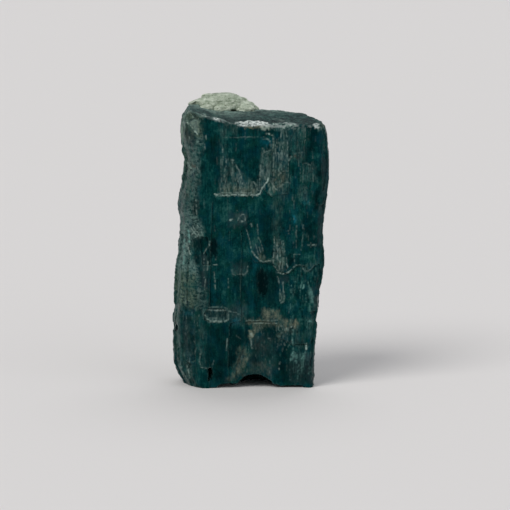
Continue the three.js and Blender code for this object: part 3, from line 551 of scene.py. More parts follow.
# lines by layer: strength, width, path
lines = {
    # painted highlights where edges, ledges and splinters catch the light, and pale cracks in the stone
    "glint": [
        # the upper sheet: its ragged lower edge, then its splinters
        (0.75, 0.28, [(-6.6, 36.6), (-5.9, 36.45), (-0.7, 36.45), (0.3, 36.4), (1.1, 36.4), (1.7, 36.7),
                      (2, 37.3), (2.3, 38), (2.7, 38.5), (3.1, 38.9), (3.3, 39.6)]),
        (0.85, 0.36, [(-6.4, 36.5), (-5.8, 36.4)]),
        (0.35, 0.22, [(-5.4, 36.85), (-2.4, 36.85), (-0.6, 36.8), (0.2, 36.9)]),
        (0.22, 0.24, [(2.65, 40.3), (2.7, 39.2)]),
        (0.28, 0.24, [(3.25, 39.8), (3.3, 39)]),
        (0.25, 0.24, [(4, 38.9), (4.3, 38), (4.7, 37.5), (5.3, 37.3)]),
        (0.38, 0.28, [(5.5, 38.1), (6.2, 38.6), (6.95, 38.9)]),
        (0.22, 0.22, [(3.5, 38), (3.5, 36.8), (3.8, 36.4)]),
        (0.22, 0.2, [(6.95, 38.8), (6.95, 43)]),
        (0.3, 0.24, [(6.85, 42.9), (6.8, 46.3)]),
        (0.3, 0.26, [(5.2, 41.2), (5.5, 40.6), (5.6, 40.2)]),
        (0.16, 0.2, [(5.9, 40.9), (6.9, 40.9)]),
        (0.2, 0.22, [(4.5, 44.3), (5.1, 44.3), (5.3, 43.9), (5.45, 43.2)]),
        (0.18, 0.26, [(4.25, 47), (4.2, 45.4), (4.3, 43.4)]),
        (0.2, 0.22, [(4.2, 43), (4.2, 39.6), (4.1, 37.4)]),
        (0.2, 0.24, [(5.9, 46.2), (5.9, 43.6)]),
        (0.15, 0.2, [(2.6, 47.25), (0, 47.3), (-2.4, 47.2), (-5, 47.2)]),
        (0.25, 0.22, [(2.3, 46.9), (3.1, 46.95), (3.7, 46.5)]),
        (0.6, 0.3, [(2.9, 47.9), (3.6, 47.9)]),
        (0.25, 0.22, [(3.6, 47.9), (4.1, 47.5), (4.2, 46.9)]),
        (0.24, 0.2, [(5.7, 49.6), (5.7, 48.6), (5.6, 47)]),
        (0.2, 0.2, [(6.6, 48.8), (6.7, 47.3)]),
        (0.25, 0.22, [(-2.7, 42), (-2.3, 41.3), (-2, 40.9), (-1.8, 39.8), (-1.5, 38.6), (-1.2, 37.8)]),
        (0.22, 0.2, [(-2.5, 40.3), (-2.3, 39.3), (-2.1, 38.5), (-1.9, 37.6), (-1.7, 36.9)]),
        (0.4, 0.28, [(-3.5, 43), (-3.1, 43)]),
        (0.2, 0.2, [(-3.3, 42.8), (-3.3, 41.4), (-3.5, 40.2)]),
        (0.25, 0.22, [(1.65, 38.3), (1.7, 39.5), (1.85, 41), (2, 42.7)]),
        (0.22, 0.22, [(2.1, 43.9), (2.3, 44.3), (2.9, 44.6), (3.8, 44.8)]),
        (0.16, 0.18, [(2.3, 43.2), (2.3, 40.5)]),
        (0.16, 0.18, [(2.9, 43), (2.95, 40.6)]),
        (0.16, 0.18, [(3.5, 42.4), (3.45, 40)]),
        (0.35, 0.22, [(-5.15, 45.3), (-5.15, 44.5)]),
        (0.25, 0.2, [(-5.05, 43.7), (-5.1, 42.6)]),
        (0.18, 0.2, [(-5.5, 42.4), (-5.4, 39.6), (-5.5, 37)]),
        (0.16, 0.2, [(-4.4, 40.4), (-4.6, 38.6), (-4.4, 37)]),
        (0.25, 0.22, [(0.3, 38.9), (0.1, 38.2), (0.4, 37.3), (0.9, 37.6), (1, 38.4), (0.6, 38.9)]),
        (0.2, 0.2, [(1.2, 38.4), (1.3, 37.4), (1.7, 37.2)]),
        (0.14, 0.2, [(9.7, 42.3), (9.75, 40.4), (9.65, 38.8)]),
        (0.14, 0.2, [(9.8, 42.4), (10.6, 42.3), (11.3, 41.8), (11.6, 41), (11.6, 39)]),
        (0.25, 0.26, [(7.1, 42.9), (7.4, 43.4), (7.6, 43.7)]),
        (0.2, 0.24, [(8.9, 44.2), (9.5, 44.4)]),
        (0.16, 0.2, [(10.1, 49), (10.1, 46.6)]),
        # glittering bits of the rim
        (0.9, 0.34, [(4.3, 49.75), (4.8, 49.8)]),
        (0.7, 0.26, [(5.3, 49.9), (6.2, 49.9)]),
        (0.9, 0.34, [(6.6, 49.6), (6.4, 49.2), (6.1, 48.9)]),
        (0.7, 0.4, [(6.9, 49.3), (7.5, 49.5), (8.2, 49.6)]),
        # cracks and ledges in the middle of the face
        (0.22, 0.18, [(-0.9, 30.2), (-0.6, 29.5), (-0.3, 28.5), (-0.1, 27.6), (0.1, 26.6)]),
        (0.42, 0.24, [(0.1, 26.6), (0.4, 25.7), (0.8, 25.1), (1.3, 24.6)]),
        (0.3, 0.22, [(1.3, 24.6), (1.7, 24.1), (2.4, 23.8), (3, 24.05), (4.3, 24.05)]),
        (0.16, 0.18, [(1.3, 31), (1.35, 29)]),
        (0.16, 0.2, [(1.4, 28.6), (1.9, 27.6), (2.2, 26.5), (2.5, 25.5), (2.6, 24.7)]),
        (0.15, 0.18, [(1, 27.2), (1.3, 26), (1.5, 25.2)]),
        (0.2, 0.18, [(1.6, 26.6), (1.9, 25.6)]),
        (0.26, 0.22, [(4.2, 24.4), (4.3, 23.2), (4.8, 22.5), (5.2, 22)]),
        (0.5, 0.3, [(5.2, 21.8), (6, 21.6), (6.7, 21.7), (7.2, 22)]),
        (0.28, 0.24, [(7.2, 22), (7.8, 22.7), (8.3, 23.1)]),
        (0.22, 0.22, [(8.2, 23.25), (9.8, 23.25)]),
        (0.2, 0.22, [(9.6, 22.9), (10, 22.1), (10.6, 22.1), (11.3, 22.7), (11.8, 23.1)]),
        (0.16, 0.2, [(8.15, 23.4), (8.1, 25.3), (9.2, 25.3)]),
        (0.3, 0.3, [(10.6, 27.05), (12.2, 27.05)]),
        (0.13, 0.2, [(8.5, 31), (8.45, 28.6), (8.5, 26.4)]),
        (0.14, 0.18, [(9.7, 29.4), (9.6, 27.4), (9.4, 26)]),
        (0.3, 0.22, [(4.4, 28.3), (4.4, 25.6), (4.2, 24.7)]),
        (0.3, 0.22, [(4.9, 28), (4.95, 25.6), (5.2, 24)]),
        (0.34, 0.22, [(5.4, 26.6), (5.5, 24.8), (5.4, 22.6)]),
        (0.3, 0.22, [(6.05, 27.3), (6.3, 25.6), (6.7, 24.3), (6.85, 22.8)]),
        (0.2, 0.2, [(5.9, 26), (6, 24), (5.9, 22.6)]),
        (0.16, 0.22, [(-3.5, 22.4), (-3.4, 21.7), (-2.8, 21.35), (-2, 21.6), (-1.3, 21.4), (-0.8, 21.6),
                      (-0.6, 22.3), (-0.5, 23)]),
        (0.26, 0.22, [(-2.4, 31.6), (-1.9, 32.5), (-1.6, 32.8), (-1.05, 32.7), (-1, 31.6)]),
        (0.45, 0.26, [(-2, 31.35), (-1.1, 31.5)]),
        (0.5, 0.42, [(-3.75, 31.7), (-3.45, 31.75)]),
        (0.22, 0.3, [(0.1, 31), (0.25, 30.6)]),
        (0.2, 0.24, [(-2.5, 33.5), (-2.1, 33.3)]),
        (0.26, 0.24, [(-8.6, 25.5), (-8.2, 26.2), (-7.8, 26.7)]),
        (0.3, 0.28, [(-7.6, 27), (-7.55, 27.7)]),
        (0.32, 0.22, [(-7.95, 24), (-7.95, 22.3)]),
        (0.22, 0.2, [(-8.6, 24.4), (-8.6, 21)]),
        (0.22, 0.2, [(-8.4, 20.6), (-8.5, 18.6)]),
        (0.24, 0.2, [(-6.75, 22), (-6.6, 20), (-6.5, 18.7)]),
        (0.3, 0.22, [(-6.9, 23.3), (-6.2, 23.35)]),
        (0.2, 0.2, [(-6.3, 24.8), (-6.4, 24.2)]),
        (0.16, 0.2, [(-4.1, 20.8), (-4.1, 19)]),
        (0.26, 0.2, [(5.1, 21), (5.3, 20), (5.5, 18), (5.5, 16.4)]),
        (0.24, 0.2, [(6, 20), (6.1, 18.5), (6.3, 17), (6.1, 16.3), (5.6, 16.1)]),
        # the framed pit, and the face below it
        (0.16, 0.2, [(-8, 15.3), (-5, 15.4), (-4.3, 15), (-4.1, 14.4), (-4.1, 13.1)]),
        (0.42, 0.24, [(-7.9, 14.75), (-6, 14.7), (-4.6, 14.7)]),
        (0.24, 0.2, [(-6.2, 14.6), (-6.2, 13.2)]),
        (0.42, 0.32, [(-8.5, 13.8), (-8.1, 13), (-7.5, 12.7), (-5, 12.6), (-4.2, 12.9)]),
        (0.22, 0.2, [(-7.9, 13.2), (-6.3, 13.2)]),
        (0.2, 0.22, [(-4, 14.5), (-2.6, 14.3), (-2, 13.9)]),
        (0.26, 0.18, [(-0.8, 12.75), (2, 12.7), (5, 12.8)]),
        (0.3, 0.18, [(0.4, 12.2), (2.4, 12.25), (4.8, 12.2)]),
        (0.4, 0.24, [(6.7, 11.3), (7.2, 11.4), (7.8, 11.75)]),
        (0.3, 0.26, [(0.1, 9.2), (0.1, 8), (0.4, 7.4)]),
        (0.3, 0.5, [(0, 10.4), (0.3, 9.8)]),
        (0.25, 0.3, [(3.3, 9.4), (3.6, 9.3)]),
        (0.3, 0.22, [(-4.35, 9.4), (-4.4, 8.4), (-4.5, 7.2)]),
        (0.3, 0.22, [(-2.6, 9.9), (-1.9, 9.2)]),
        (0.75, 0.4, [(10.3, 8.3), (10.4, 7.3)]),
        (0.3, 0.26, [(5.4, 4.9), (5.4, 4.5)]),
        (0.3, 0.26, [(5.3, 3.7), (5.35, 3.5)]),
        (0.2, 0.2, [(-9.3, 6.6), (-9.5, 5), (-9.2, 4), (-8, 3.75), (-7.2, 3.9), (-6.8, 5.3)]),
        # flecks and edges on the left side
        (0.55, 0.26, [(-11.7, 49.7), (-10.9, 49.1), (-10.3, 48.4), (-9.8, 47.8)]),
        (0.8, 0.32, [(-10.5, 52.1), (-10.1, 52)]),
        (0.4, 0.26, [(-9.9, 51.8), (-9, 51.4), (-8.2, 51.1)]),
        (0.35, 0.26, [(-11.7, 52.1), (-11.6, 51.2), (-11.9, 50.4)]),
        (0.4, 0.3, [(-10.9, 51.1), (-10.5, 50.7)]),
        (0.3, 0.3, [(-12.3, 51.4), (-12.4, 50.8)]),
        (0.35, 0.3, [(-12.8, 48.6), (-12.7, 47.4), (-12.6, 46.4)]),
        (0.25, 0.24, [(-11.3, 47.1), (-11.2, 46.5)]),
        (0.25, 0.24, [(-8.2, 47.6), (-8.2, 46.8)]),
        (0.2, 0.22, [(-8.4, 46), (-8.4, 45)]),
        (0.3, 0.26, [(-11.8, 42.2), (-11.4, 41.6), (-11, 41)]),
        (0.25, 0.24, [(-9.8, 41.8), (-9.8, 41.1)]),
        (0.4, 0.3, [(-10.1, 35.4), (-10, 35.2)]),
        (0.35, 0.26, [(-10, 34.5), (-10, 34.2)]),
        (0.3, 0.24, [(-10, 33.6), (-10, 32.8)]),
        (0.3, 0.24, [(-9.9, 30.8), (-9.2, 29.9), (-8.8, 28.7)]),
        (0.35, 0.22, [(-11, 30), (-9.8, 28.6)]),
        (0.35, 0.22, [(-10.6, 30.4), (-9.4, 28.8)]),
        (0.3, 0.22, [(-10.9, 28.8), (-9.8, 30.2)]),
        (0.3, 0.22, [(-10.2, 28.4), (-9.2, 29.6)]),
        (0.45, 0.3, [(-11.8, 26.9), (-11.5, 26), (-11.2, 25.2)]),
        (0.22, 0.24, [(-12.6, 16.2), (-12.1, 16.6), (-12, 15.8)]),
        (0.3, 0.3, [(-13.5, 5.4), (-13.1, 3.8), (-12.5, 2.3), (-11.8, 1.2)]),
        (0.3, 0.28, [(-12, 4.2), (-11.5, 2.8), (-11.3, 1.6)]),
        (0.25, 0.26, [(-12, 11.6), (-11.9, 11)]),
        (0.25, 0.3, [(-12.5, 6.2), (-12.3, 6)]),
        (0.25, 0.26, [(-10.5, 8.7), (-10.4, 8.5)]),
    ],
    # fibres that shine at the lower right and on the left side
    "shine": [
        (0.35, 0.24, [(8.3, 20.2), (8.2, 18)]),
        (0.55, 0.26, [(9.5, 19.9), (9.2, 18.5)]),
        (0.8, 0.28, [(9.95, 20.3), (9.8, 18.8)]),
        (0.4, 0.3, [(11, 18.9), (11.2, 17.6), (11.3, 16.4)]),
        (0.35, 0.24, [(10.3, 17.6), (10.3, 16.2)]),
        (0.35, 0.24, [(11, 16), (11.1, 14)]),
        (0.55, 0.5, [(10.6, 12.8), (11.3, 12.6)]),
        (0.35, 0.24, [(7.6, 19.4), (7.5, 17.4)]),
        (0.55, 0.3, [(7.4, 5.3), (7.6, 6.3), (8, 6.8)]),
        (0.4, 0.26, [(8.3, 6.6), (8.3, 5)]),
        (0.35, 0.24, [(8.6, 6.4), (8.55, 4.6)]),
        (0.25, 0.24, [(8.8, 3.9), (8.75, 1.4)]),
        (0.55, 0.3, [(9.5, 5.5), (9.8, 6.3), (10.3, 6.8)]),
        (0.4, 0.24, [(9.5, 5.4), (9.4, 3)]),
        (0.35, 0.3, [(7.9, 11), (7.8, 9.4), (7.9, 8)]),
        (0.35, 0.3, [(-12.4, 29.8), (-12.3, 27.2)]),
        (0.9, 0.34, [(-11.5, 29.5), (-11.35, 28.4), (-11.3, 27.4)]),
        (0.5, 0.4, [(-12.3, 28.6), (-12.3, 25.6), (-12.5, 23)]),
    ],
    # dark edges low on the left side, and the gaps between the painted highlights
    "dark": [
        (0.7, 0.3, [(-11.4, 50.4), (-11, 50.1)]),
        (0.6, 0.3, [(-11.1, 52), (-10.8, 51.4)]),
        (0.6, 0.28, [(-9.1, 50.8), (-9.1, 49.8)]),
        (0.5, 0.26, [(-9.4, 49), (-9.3, 48.2), (-9.5, 47.2)]),
        (0.5, 0.24, [(-12.9, 4.6), (-12.3, 2.6), (-11.7, 1.4)]),
        (0.7, 0.22, [(-13.2, 15.4), (-13.1, 13)]),
    ],
}

# painted shade in hollows anywhere on the stone: centre and reach
pits = [((-14.1, -4, 10.8), 1.1)]

# short cracks and fibres, nearly upright, strewn between the marks
hairPlan = {
    "seed": 5,
    "lean": 0.05,
    "widths": (0.15, 0.24),
    "shares": (0.3, 1),  # of the strength
    # layer, count, outline, shortest, longest, strength
    "fields": [
        ("glint", 150, [(-6, 36.4), (-5.4, 43), (-3.2, 43), (-0.6, 38.6), (1.6, 38.8), (2, 44), (4, 46.6),
                        (7, 46), (7, 38.6), (4, 36.4)], 0.3, 1.6, 0.2),
        ("dark", 90, [(-6, 36.6), (-5.4, 43), (-3.2, 43), (-0.6, 38.8), (1.6, 38.8), (2, 44), (4, 46.6),
                      (7, 48), (7, 38.8), (4, 36.6)], 0.3, 1.4, 0.6),
        ("glint", 70, [(-9, 1), (-9, 50), (7, 49), (13, 48), (12, 1)], 0.4, 2.4, 0.07),
        ("glint", 160, [(-13.5, 4), (-13, 49), (-9.6, 50), (-9.2, 4)], 0.15, 0.6, 0.15),
        ("dark", 200, [(-13.8, 4), (-13, 49), (-9.2, 50), (-8.8, 14)], 0.15, 0.7, 0.6),
        ("glint", 30, [(4.4, 22), (4.4, 28), (6.8, 28), (6.9, 22)], 0.4, 1.6, 0.2),
        ("dark", 26, [(4.4, 22), (4.4, 28), (6.8, 28), (6.9, 22)], 0.4, 1.6, 0.7),
        ("shine", 70, [(7.2, 11), (7.2, 22), (12.2, 22), (11.6, 11)], 0.4, 1.8, 0.2),
        ("dark", 60, [(7.2, 1), (7.2, 22), (12.2, 22), (11.4, 1)], 0.4, 1.8, 0.7),
        ("shine", 40, [(7.2, 0.8), (7.2, 8), (11.4, 8), (11.2, 0.8)], 0.5, 2, 0.22),
        ("glint", 60, [(-4.5, 1), (-2, 8), (0.6, 10), (5, 12), (7, 10), (5, 2.6)], 0.2, 0.7, 0.12),
        ("glint", 80, [(7, 26), (7.4, 49), (12, 49), (12.6, 26)], 0.3, 1.4, 0.13),
        ("glint", 50, [(4.6, 7), (4.6, 11.4), (8.4, 11.4), (8, 7)], 0.2, 0.8, 0.22),
        ("dark", 70, [(7, 26), (7.4, 49), (12.6, 49), (12.8, 26)], 0.4, 1.6, 0.6),
        ("glow", 60, [(0, 15), (0, 24), (5, 24), (5, 15)], 0.3, 1.6, 0.8),
    ],
}

# the blade
bladePlan = {
    "voxel": 0.15,
    "triangles": 197000,
    "frontDepth": 1.7,  # mm behind the front face that keep the full fineness
    "relief": {
        "wobbleSize": (2.5, 2.5, 12),
        "wobble": 0.14,
        "cellSize": (1.8, 1.8, 22),
        "cellStep": 0.5,
        "fibreSize": (0.45, 0.45, 9),
        "fibreHeight": 0.09,
        "swellSize": (7, 7, 12),
        "swellHeight": 0.4,
        "lumpSize": (1.2, 1.6, 1.2),
        "lumpHeight": 0.6,
        "layerSize": (2.4, 0.9, 3),
        "layerHeight": 0.55,
        "hillSize": (3, 4, 4),
        "hillHeight": 0.7,
        "grainSize": (0.5, 0.5, 0.6),
        "grainHeight": 0.08,
        "frontShare": 0,
    },
    # shards along the front rim: x, width, depth behind the face, height, lean in degrees
    "shards": [
        (-3.3, 1.5, 0.35, 49.8, 8), (-2.2, 1.2, 0.5, 50.2, -6), (-1.3, 1.3, 0.35, 50.1, 10),
        (-0.5, 1.0, 0.6, 50.2, -4), (0.4, 1.1, 0.4, 50.05, 6), (1.2, 1.0, 0.7, 50.15, -8),
        (2.0, 0.9, 0.4, 50.1, 5), (2.9, 1.0, 0.6, 50.0, -10), (4.6, 1.3, 0.5, 49.85, 6),
        (6.2, 1.2, 0.45, 49.85, -5), (7.9, 1.4, 0.5, 49.75, 7),
    ],
    # what every shard shares: the height of its foot, its thickness, how its end narrows and frays
    "shardShape": {"foot": 48.6, "thickness": 0.7, "taper": (0.7, 0.35, 1), "fraying": 0.12},
    # small breaks: centre, size, turn in degrees
    "chips": [
        ((-9.2, -8.9, 51.6), (2.6, 0.9, 0.8), (40, 14, 0)),
        ((-6.4, -8.9, 50.6), (2.2, 1.0, 0.9), (44, 20, 4)),
        ((11.3, -8.9, 49.6), (2.2, 1.1, 1.3), (38, 24, -8)),
        ((13.4, -8.2, 33.0), (0.9, 1.0, 3.4), (0, -5, -40)),
        ((13.5, -8.0, 22.0), (1.2, 1.4, 4.2), (0, 6, -42)),
        ((12.0, -8.4, 12.6), (1.0, 1.2, 3.8), (0, -6, -40)),
        ((11.7, -8.5, 3.0), (1.0, 0.9, 5.0), (0, 3, -44)),
        ((-11.2, -8.5, 38.0), (1.6, 0.7, 5.5), (0, -4, 24)),
        ((-10.6, -8.7, 28.4), (1.8, 0.6, 3.2), (0, 8, 20)),
        ((-11.4, -8.4, 8.0), (2.0, 0.7, 6.0), (0, -5, 26)),
        ((-13.2, -6.9, 47.5), (1.0, 1.4, 3.6), (8, -6, 40)),
        ((-12.4, -7.6, 3.2), (1.8, 1.4, 3.0), (10, 12, 40)),
        ((-14.4, -3.8, 10.8), (1.3, 3.6, 1.2), (0, 25, 0)),
        ((14.2, -5.5, 49.4), (1.4, 7.4, 1.4), (0, 45, 0)),
        # the nick in the left flank runs out unevenly
        ((-14.7, -2.2, 11.2), (1.3, 2.4, 1.3), (38, 20, 0)),
        ((-14.6, -5.4, 10.5), (1.2, 2.6, 1.2), (-28, 30, 10)),
        # the underside of the ledge low on the back is ragged
        ((-8.4, 6.6, 19.3), (1.7, 2.6, 2.6), (10, 32, 0)),
        ((-5.4, 6.8, 17.4), (1.4, 2.6, 3.0), (-6, -36, 4)),
        ((-2.6, 6.6, 18.0), (1.9, 2.6, 1.9), (8, 24, 0)),
        ((0.4, 6.4, 18.9), (1.5, 2.6, 3.6), (0, -24, -5)),
        ((2.7, 5.2, 28.4), (1.1, 2.4, 4.4), (0, 8, 30)),
        ((1.9, 5.6, 39.5), (0.9, 2.2, 5.6), (0, -6, 24)),
    ],
    # where wear sets in and where it is full, in mm, and how many times it is evened out
    "wear": {
        "leftRoll": {"x": (-8.6, -10.0), "depth": (4, 3), "rounds": 24},
        "rightCorner": {"x": (10.4, 12.4), "height": (46.6, 48.4), "rounds": 140},
        "nick": {"centre": (-14.2, -3.8, 10.9), "reach": (3.4, 2.2), "rounds": 36},
        "backLedge": {"y": (4.6, 5.4), "foot": (15.5, 17), "head": (21.5, 20), "rounds": 60},
    },
}


def keepInside(piece, soft=0.2 * mm):
    # what the relief lifts past the frame's box is pressed back, and the base stays on the floor
    places = meshArray(piece, "co", 3)
    low, high = np.array(cadBox[0]), np.array(cadBox[1])
    over = places - (high - soft)
    under = (low + soft) - places
    places = np.where(over > 0, high - soft + soft * np.tanh(over / soft), places)
    places[:, :2] = np.where(under > 0, low + soft - soft * np.tanh(under / soft), places)[:, :2]
    places[:, 2] = np.maximum(places[:, 2], 0)
    piece.data.vertices.foreach_set("co", places.ravel())
    piece.data.update()


def shapedBlock(place, size, turn=(0, 0, 0)):
    bpy.ops.object.select_all(action="DESELECT")
    bpy.ops.mesh.primitive_cube_add(
        size=1,
        location=[value * mm for value in place],
        scale=[value * mm for value in size],
        rotation=[math.radians(value) for value in turn],
    )
    return bpy.context.object


def joined(pieces):
    bpy.ops.object.select_all(action="DESELECT")
    for piece in pieces:
        piece.select_set(True)
    bpy.context.view_layer.objects.active = pieces[0]
    bpy.ops.object.join()
    bpy.ops.object.transform_apply(location=True, rotation=True, scale=True)
    return pieces[0]


def addShard(x, width, depth, height, lean, shape):
    # a thin upright splinter whose upper end is broken to a ragged slope
    tall = height - shape["foot"]
    middle = (x, front / mm + depth, shape["foot"] + tall / 2)
    shard = shapedBlock(middle, (width, shape["thickness"], tall), (0, lean, 0))
    bpy.ops.object.mode_set(mode="EDIT")
    bpy.ops.mesh.select_all(action="SELECT")
    bpy.ops.mesh.subdivide(number_cuts=2)
    bpy.ops.mesh.select_all(action="DESELECT")
    bpy.ops.object.mode_set(mode="OBJECT")
    for corner in shard.data.vertices:
        corner.select = corner.co.z > 0.49  # the upper end of a block one unit tall
    bpy.ops.object.mode_set(mode="EDIT")
    bpy.ops.transform.resize(value=shape["taper"])
    bpy.ops.transform.vertex_random(offset=shape["fraying"] * mm, seed=int(50 + x * 10))
    bpy.ops.object.mode_set(mode="OBJECT")
    return shard


def thin(piece, triangles, kept):
    group = piece.vertex_groups.new(name="thinned")
    group.add(np.nonzero(~kept)[0].tolist(), 1.0, "REPLACE")
    share = triangles / triangleCount(piece)
    applyModifier(piece, "DECIMATE", ratio=share, vertex_group="thinned", vertex_group_factor=10)
    piece.vertex_groups.clear()


def soften(piece, share, rounds, factor=0.6, least=0.02):
    group = piece.vertex_groups.new(name="corner")
    for index in np.nonzero(share > least)[0].tolist():
        group.add([index], float(share[index]), "REPLACE")
    applyModifier(piece, "SMOOTH", factor=factor, iterations=rounds, vertex_group="corner")
    piece.vertex_groups.clear()


def softenCorners(piece, plan):
    # the front face rolls into the left flank, and the upper right corner is worn round
    x, y, z = (meshArray(piece, "co", 3) / mm).T
    roll, corner, nick, ledge = (plan[name] for name in ("leftRoll", "rightCorner", "nick", "backLedge"))
    rollDepth = [front / mm + depth for depth in roll["depth"]]
    soften(piece, smooth(*roll["x"], x) * smooth(*rollDepth, y), roll["rounds"])
    soften(piece, smooth(*corner["x"], x) * smooth(*corner["height"], z), corner["rounds"])
    # so are the nick in the left flank and the underside of the ledge on the back
    fromNick = np.sqrt(sum((along - middle) ** 2 for along, middle in zip((x, y, z), nick["centre"])))
    soften(piece, smooth(*nick["reach"], fromNick), nick["rounds"])
    underside = smooth(*ledge["y"], y) * smooth(*ledge["foot"], z) * smooth(*ledge["head"], z)
    soften(piece, underside, ledge["rounds"])


def makeBlade(plan):
    blade = copyOfNode("kyanite_blade", "kyaniteBlade")
    chips = joined([shapedBlock(*chip) for chip in plan["chips"]])
    applyModifier(blade, "BOOLEAN", operation="DIFFERENCE", object=chips, solver="EXACT", use_self=True)
    bpy.data.objects.remove(chips)
    blade = joined([blade] + [addShard(*shard, plan["shardShape"]) for shard in plan["shards"]])
    applyModifier(blade, "REMESH", mode="VOXEL", voxel_size=plan["voxel"] * mm)
    print("blade remeshed", triangleCount(blade))
    softenCorners(blade, plan["wear"])
    applyModifier(blade, "NODES", node_group=reliefTree("cleavageRelief", plan["relief"]))
    places, normals = meshArray(blade, "co", 3), meshArray(blade, "normal", 3)
    onFront = (places[:, 1] < front + plan["frontDepth"] * mm) & (normals[:, 1] < -0.25)
    thin(blade, plan["triangles"], onFront)
    keepInside(blade)
    print("blade thinned", triangleCount(blade), "front share", round(float(onFront.mean()), 2))
    return blade


blade = makeBlade(bladePlan)


def distanceTo(path, x, z):
    nearest = np.full(len(x), 1e9)
    for (x0, z0), (x1, z1) in zip(path, path[1:]):
        along = ((x - x0) * (x1 - x0) + (z - z0) * (z1 - z0)) / ((x1 - x0) ** 2 + (z1 - z0) ** 2)
        along = np.clip(along, 0, 1)
        nearest = np.minimum(nearest, np.hypot(x - x0 - along * (x1 - x0), z - z0 - along * (z1 - z0)))
    return nearest


def inside(outline, x, z):
    odd = np.zeros(len(x), bool)
    for (x0, z0), (x1, z1) in zip(outline, outline[1:] + outline[:1]):
        if z0 != z1:
            odd ^= ((z0 > z) != (z1 > z)) & (x < x0 + (z - z0) * (x1 - x0) / (z1 - z0))
    return odd


def closeTo(path, margin, x, z):
    across, up = zip(*path)
    beside = (x > min(across) - margin) & (x < max(across) + margin)
    level = (z > min(up) - margin) & (z < max(up) + margin)
    return np.nonzero(beside & level)[0]


def scatteredHairs(plan):
    pick = random.Random(plan["seed"])
    hairs = []
    for layer, count, outline, shortest, longest, strength in plan["fields"]:
        across, up = zip(*outline)
        while count > 0:
            x, z = pick.uniform(min(across), max(across)), pick.uniform(min(up), max(up))
            if not inside(outline, np.array([x]), np.array([z]))[0]:
                continue
            long = pick.uniform(shortest, longest)
            lean = pick.gauss(0, plan["lean"]) * long
            strand = [(x, z), (x + lean, z + long)]
            share = pick.uniform(*plan["shares"])
            hairs.append((layer, share * strength, pick.uniform(*plan["widths"]), strand))
            count -= 1
    return hairs


brushPlan = {
    "facing": (-0.1, -0.35),  # the turn of the surface at which marks set in and are full
    "depth": (7, 5),  # mm behind the face
    # borders of patches wander, lines only shiver: reach, size of the waves in mm, seed
    "looseX": [(0.4, (0.9, 9, 1.8), 3.1), (0.35, (0.3, 9, 0.7), 5.9)],
    "looseZ": [(0.6, (0.45, 9, 1), 8.7)],
    "tightX": [(0.1, (0.5, 9, 0.9), 12.3)],
    "tightZ": [(0.1, (0.6, 9, 0.6), 17.9)],
    # lines fade in and out along their way
    "fade": [(1.7, (0.35, 9, 0.4), 23.1), (0.8, (1.3, 9, 1.6), 29.4)],
    "fadeMiddle": 0.7,
    "fadeLimits": (0.05, 1.3),
    "patchMargin": 1.5,
    "lineMargin": 0.8,
    "lineEdge": (0.75, 0.15),  # shares of a line's width
    "glintInDark": 0.8,
    "lift": {"glint": 0.06, "veil": 0.05, "dark": -0.35},  # mm out of the face
    "pitEdge": 0.6,
}


def waves(places, rows):
    return sum(reach * wander(places, size, seed) for reach, size, seed in rows)


def paintFront(piece, plan):
    places, normals = meshArray(piece, "co", 3), meshArray(piece, "normal", 3)
    facing = smooth(*plan["facing"], normals[:, 1])
    facing *= smooth(*[front + depth * mm for depth in plan["depth"]], places[:, 1])
    shown = np.nonzero(facing > 0)[0]
    spots = places[shown]
    x, z = spots[:, 0] / mm, spots[:, 2] / mm
    xLoose, zLoose = x + waves(spots, plan["looseX"]), z + waves(spots, plan["looseZ"])
    xTight, zTight = x + waves(spots, plan["tightX"]), z + waves(spots, plan["tightZ"])
    fade = np.clip(plan["fadeMiddle"] + waves(spots, plan["fade"]), *plan["fadeLimits"])
    layers = {layer: np.zeros(len(shown)) for layer in patches}
    for layer, rows in patches.items():
        for strength, soft, outline in rows:
            near = closeTo(outline, plan["patchMargin"] + soft, x, z)
            xNear, zNear = xLoose[near], zLoose[near]
            side = np.where(inside(outline, xNear, zNear), 1, -1)
            edge = distanceTo(outline + outline[:1], xNear, zNear) * side
            layers[layer][near] += strength * smooth(-soft, soft, edge) * (1 - layers[layer][near])
    strokes = [(layer, *row) for layer, rows in lines.items() for row in rows]
    for layer, strength, width, path in strokes + scatteredHairs(hairPlan):
        near = closeTo(path, plan["lineMargin"], x, z)
        reach = distanceTo(path, xTight[near], zTight[near])
        faint, full = plan["lineEdge"]
        mark = strength * fade[near] * smooth(width * faint, width * full, reach)
        layers[layer][near] = np.maximum(layers[layer][near], mark)
    layers["glint"] *= 1 - plan["glintInDark"] * layers["dark"]
    lift = sum(plan["lift"][layer] * layers[layer] for layer in ("glint", "veil"))
    lift += plan["lift"]["dark"] * layers["dark"] ** 4
    places[shown, 1] -= lift * facing[shown] * mm
    piece.data.vertices.foreach_set("co", places.ravel())
    piece.data.update()
    for layer, values in layers.items():
        whole = np.zeros(len(places))
        whole[shown] = np.clip(values, 0, 1) * facing[shown]
        if layer == "dark":
            for centre, reach in pits:
                away = np.linalg.norm(places / mm - np.array(centre), axis=1)
                whole = np.maximum(whole, smooth(reach, plan["pitEdge"] * reach, away))
        keepLayer(piece, layer, whole)


paintFront(blade, brushPlan)


